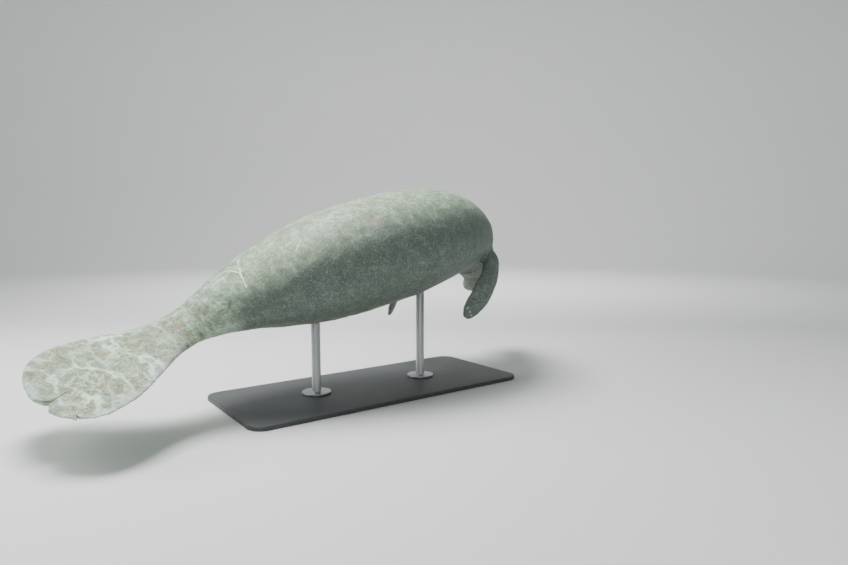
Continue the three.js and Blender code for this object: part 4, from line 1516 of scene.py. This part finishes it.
class MANATEE_OT_hairs(bpy.types.Operator):
    """Scatters single fine hairs over the back, the flanks and the head"""

    bl_idname = "manatee.hairs"
    bl_label = "Body hairs"

    def execute(self, context):
        settings = context.scene.manatee_hair
        skin = bpy.data.objects["skin"]
        random = np.random.default_rng(72)
        wanted = settings.hairs
        along = random.uniform(0.03, 0.93, wanted * 2)
        angle = random.uniform(0, 2 * np.pi, wanted * 2)
        girth = profile_at(along)[:, 0] / FULL_HALF_WIDTH
        keep = random.uniform(0, 1, wanted * 2) < girth
        along, angle = along[keep][:wanted], angle[keep][:wanted]
        roots, normals, marks, along = skin_roots(skin, along, angle)
        count = len(roots)
        _, forward, _, _ = spine_at(along)
        directions = unit(normals - 0.9 * forward + random.normal(0, 0.22, (count, 3)))
        lengths = settings.hair_length * random.uniform(0.35, 1.0, count)
        lengths *= 0.45 + 0.55 * soft_step(along, 0.05, 0.2)
        widths = random.uniform(0.00014, 0.00022, count)
        curl = random.uniform(0.05, 0.5, count)
        piece = joined_hairs("body_hairs", tapered_hair(3, 3), roots - normals * 0.0008, directions, -forward,
                             lengths, widths, curl, marks)
        hair_paint(settings).onto(piece)
        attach(piece, "root")
        return {"FINISHED"}


# Stand.

def base_paint(settings):
    paint = Paint("stand_paint")
    place = paint.object_place()
    orange_peel = paint.noise(place, 420, 2, 0.5)
    wear = paint.noise(place, 6, 4, 0.6)
    worn = tuple(1.35 * part for part in settings.base)
    tone = paint.blend(wear.step(0.45, 0.75) * 0.35, tuple(settings.base), worn)
    paint.set(Base_Color=tone, Roughness=0.42 + wear * 0.14, Normal=paint.bumped(orange_peel, 0.0003, 0.5))
    return paint


def rod_paint(settings):
    paint = Paint("stand_steel")
    place = paint.object_place()
    brushed = paint.noise(paint.scaled(place, (60, 60, 1400)), 1.0, 3, 0.6)
    tone = paint.blend(brushed, tuple(0.8 * c for c in settings.rod), tuple(settings.rod))
    paint.set(Base_Color=tone, Roughness=0.26 + brushed * 0.16, Normal=paint.bumped(brushed, 0.0002, 0.4))
    paint.set(Metallic=1.0)
    return paint


class MANATEE_OT_stand(bpy.types.Operator):
    """Finishes the flat base and its two rods"""

    bl_idname = "manatee.stand"
    bl_label = "Stand"

    def execute(self, context):
        settings = context.scene.manatee_stand
        self.add_base(settings)
        steel = rod_paint(settings)
        for name in ("front", "rear"):
            self.add_rod(f"stand_rod_{name}", steel)
        return {"FINISHED"}

    def add_base(self, settings):
        low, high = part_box("stand_base")
        size, middle = high - low, (low + high) / 2
        bpy.ops.mesh.primitive_cube_add(size=1, location=middle)
        base = named("base_plate")
        base.scale = size
        settle(base)
        choose(base, "EDGE", lambda edge: abs(np.subtract(*ends_of(base, edge))[2]) > size.z / 2)
        bpy.ops.mesh.bevel(offset=BASE_CORNER, segments=14, affect="EDGES")
        bpy.ops.object.mode_set(mode="OBJECT")
        modify(base, "BEVEL", width=settings.bevel, segments=4, limit_method="ANGLE",
               angle_limit=math.radians(50))
        pick(base)
        bpy.ops.object.shade_smooth_by_angle(angle=math.radians(35))
        base_paint(settings).onto(base)
        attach(base, "root")
        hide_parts("stand_base")

    def add_rod(self, node, steel):
        """A round collar whose top is drawn up to the rod, which ends hidden inside the body."""
        low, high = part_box(node)
        middle = (low + high) / 2
        bpy.ops.mesh.primitive_cylinder_add(
            vertices=64, radius=COLLAR_RADIUS, depth=COLLAR_THICKNESS,
            location=(middle.x, middle.y, low.z + COLLAR_THICKNESS / 2))
        rod = named(node.replace("stand_rod", "support"))
        settle(rod)
        choose(rod, "FACE", lambda face: face.normal.z > 0.9)
        bpy.ops.mesh.inset(thickness=COLLAR_RADIUS - ROD_RADIUS - COLLAR_FILLET)
        bpy.ops.mesh.extrude_region_move(TRANSFORM_OT_translate={"value": (0, 0, FILLET_RISE)})
        shrink = ROD_RADIUS / (ROD_RADIUS + COLLAR_FILLET)
        bpy.ops.transform.resize(value=(shrink, shrink, 1))
        length = high.z + ROD_INSIDE - low.z - COLLAR_THICKNESS - FILLET_RISE
        bpy.ops.mesh.extrude_region_move(TRANSFORM_OT_translate={"value": (0, 0, length)})
        bpy.ops.object.mode_set(mode="OBJECT")
        modify(rod, "BEVEL", width=0.0014, segments=3, limit_method="ANGLE", angle_limit=math.radians(32))
        pick(rod)
        bpy.ops.object.shade_smooth_by_angle(angle=math.radians(35))
        steel.onto(rod)
        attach(rod, "root")
        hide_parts(node)


# Panel and registration.

class MANATEE_PT_panel(bpy.types.Panel):
    """Lists the steps that build the manatee"""

    bl_idname = "MANATEE_PT_panel"
    bl_label = "Manatee"
    bl_space_type = "VIEW_3D"
    bl_region_type = "UI"
    bl_category = "Manatee"

    def draw(self, context):
        for settings, steps in PANEL_ROWS:
            box = self.layout.box()
            group = getattr(context.scene, settings)
            for name in group.bl_rna.properties.keys():
                if name not in ("rna_type", "name"):
                    box.prop(group, name)
            for step in steps:
                box.operator(step.bl_idname)


PANEL_ROWS = (
    ("manatee_studio", (MANATEE_OT_studio,)),
    ("manatee_skin", (MANATEE_OT_skin, MANATEE_OT_eyes, MANATEE_OT_nails)),
    ("manatee_hair", (MANATEE_OT_bristles, MANATEE_OT_hairs)),
    ("manatee_stand", (MANATEE_OT_stand,)),
)
GROUPS = {
    "manatee_studio": StudioSettings,
    "manatee_skin": SkinSettings,
    "manatee_hair": HairSettings,
    "manatee_stand": StandSettings,
}
CLASSES = (*GROUPS.values(), *(step for _, steps in PANEL_ROWS for step in steps), MANATEE_PT_panel)


def register():
    for made in CLASSES:
        bpy.utils.register_class(made)
    for name, group in GROUPS.items():
        setattr(bpy.types.Scene, name, PointerProperty(type=group))


def unregister():
    for name in GROUPS:
        delattr(bpy.types.Scene, name)
    for made in reversed(CLASSES):
        bpy.utils.unregister_class(made)


def main():
    register()
    bpy.ops.manatee.studio()
    bpy.ops.manatee.skin()
    bpy.ops.manatee.eyes()
    bpy.ops.manatee.nails()
    bpy.ops.manatee.bristles()
    bpy.ops.manatee.hairs()
    bpy.ops.manatee.stand()


if __name__ == "__main__":
    main()
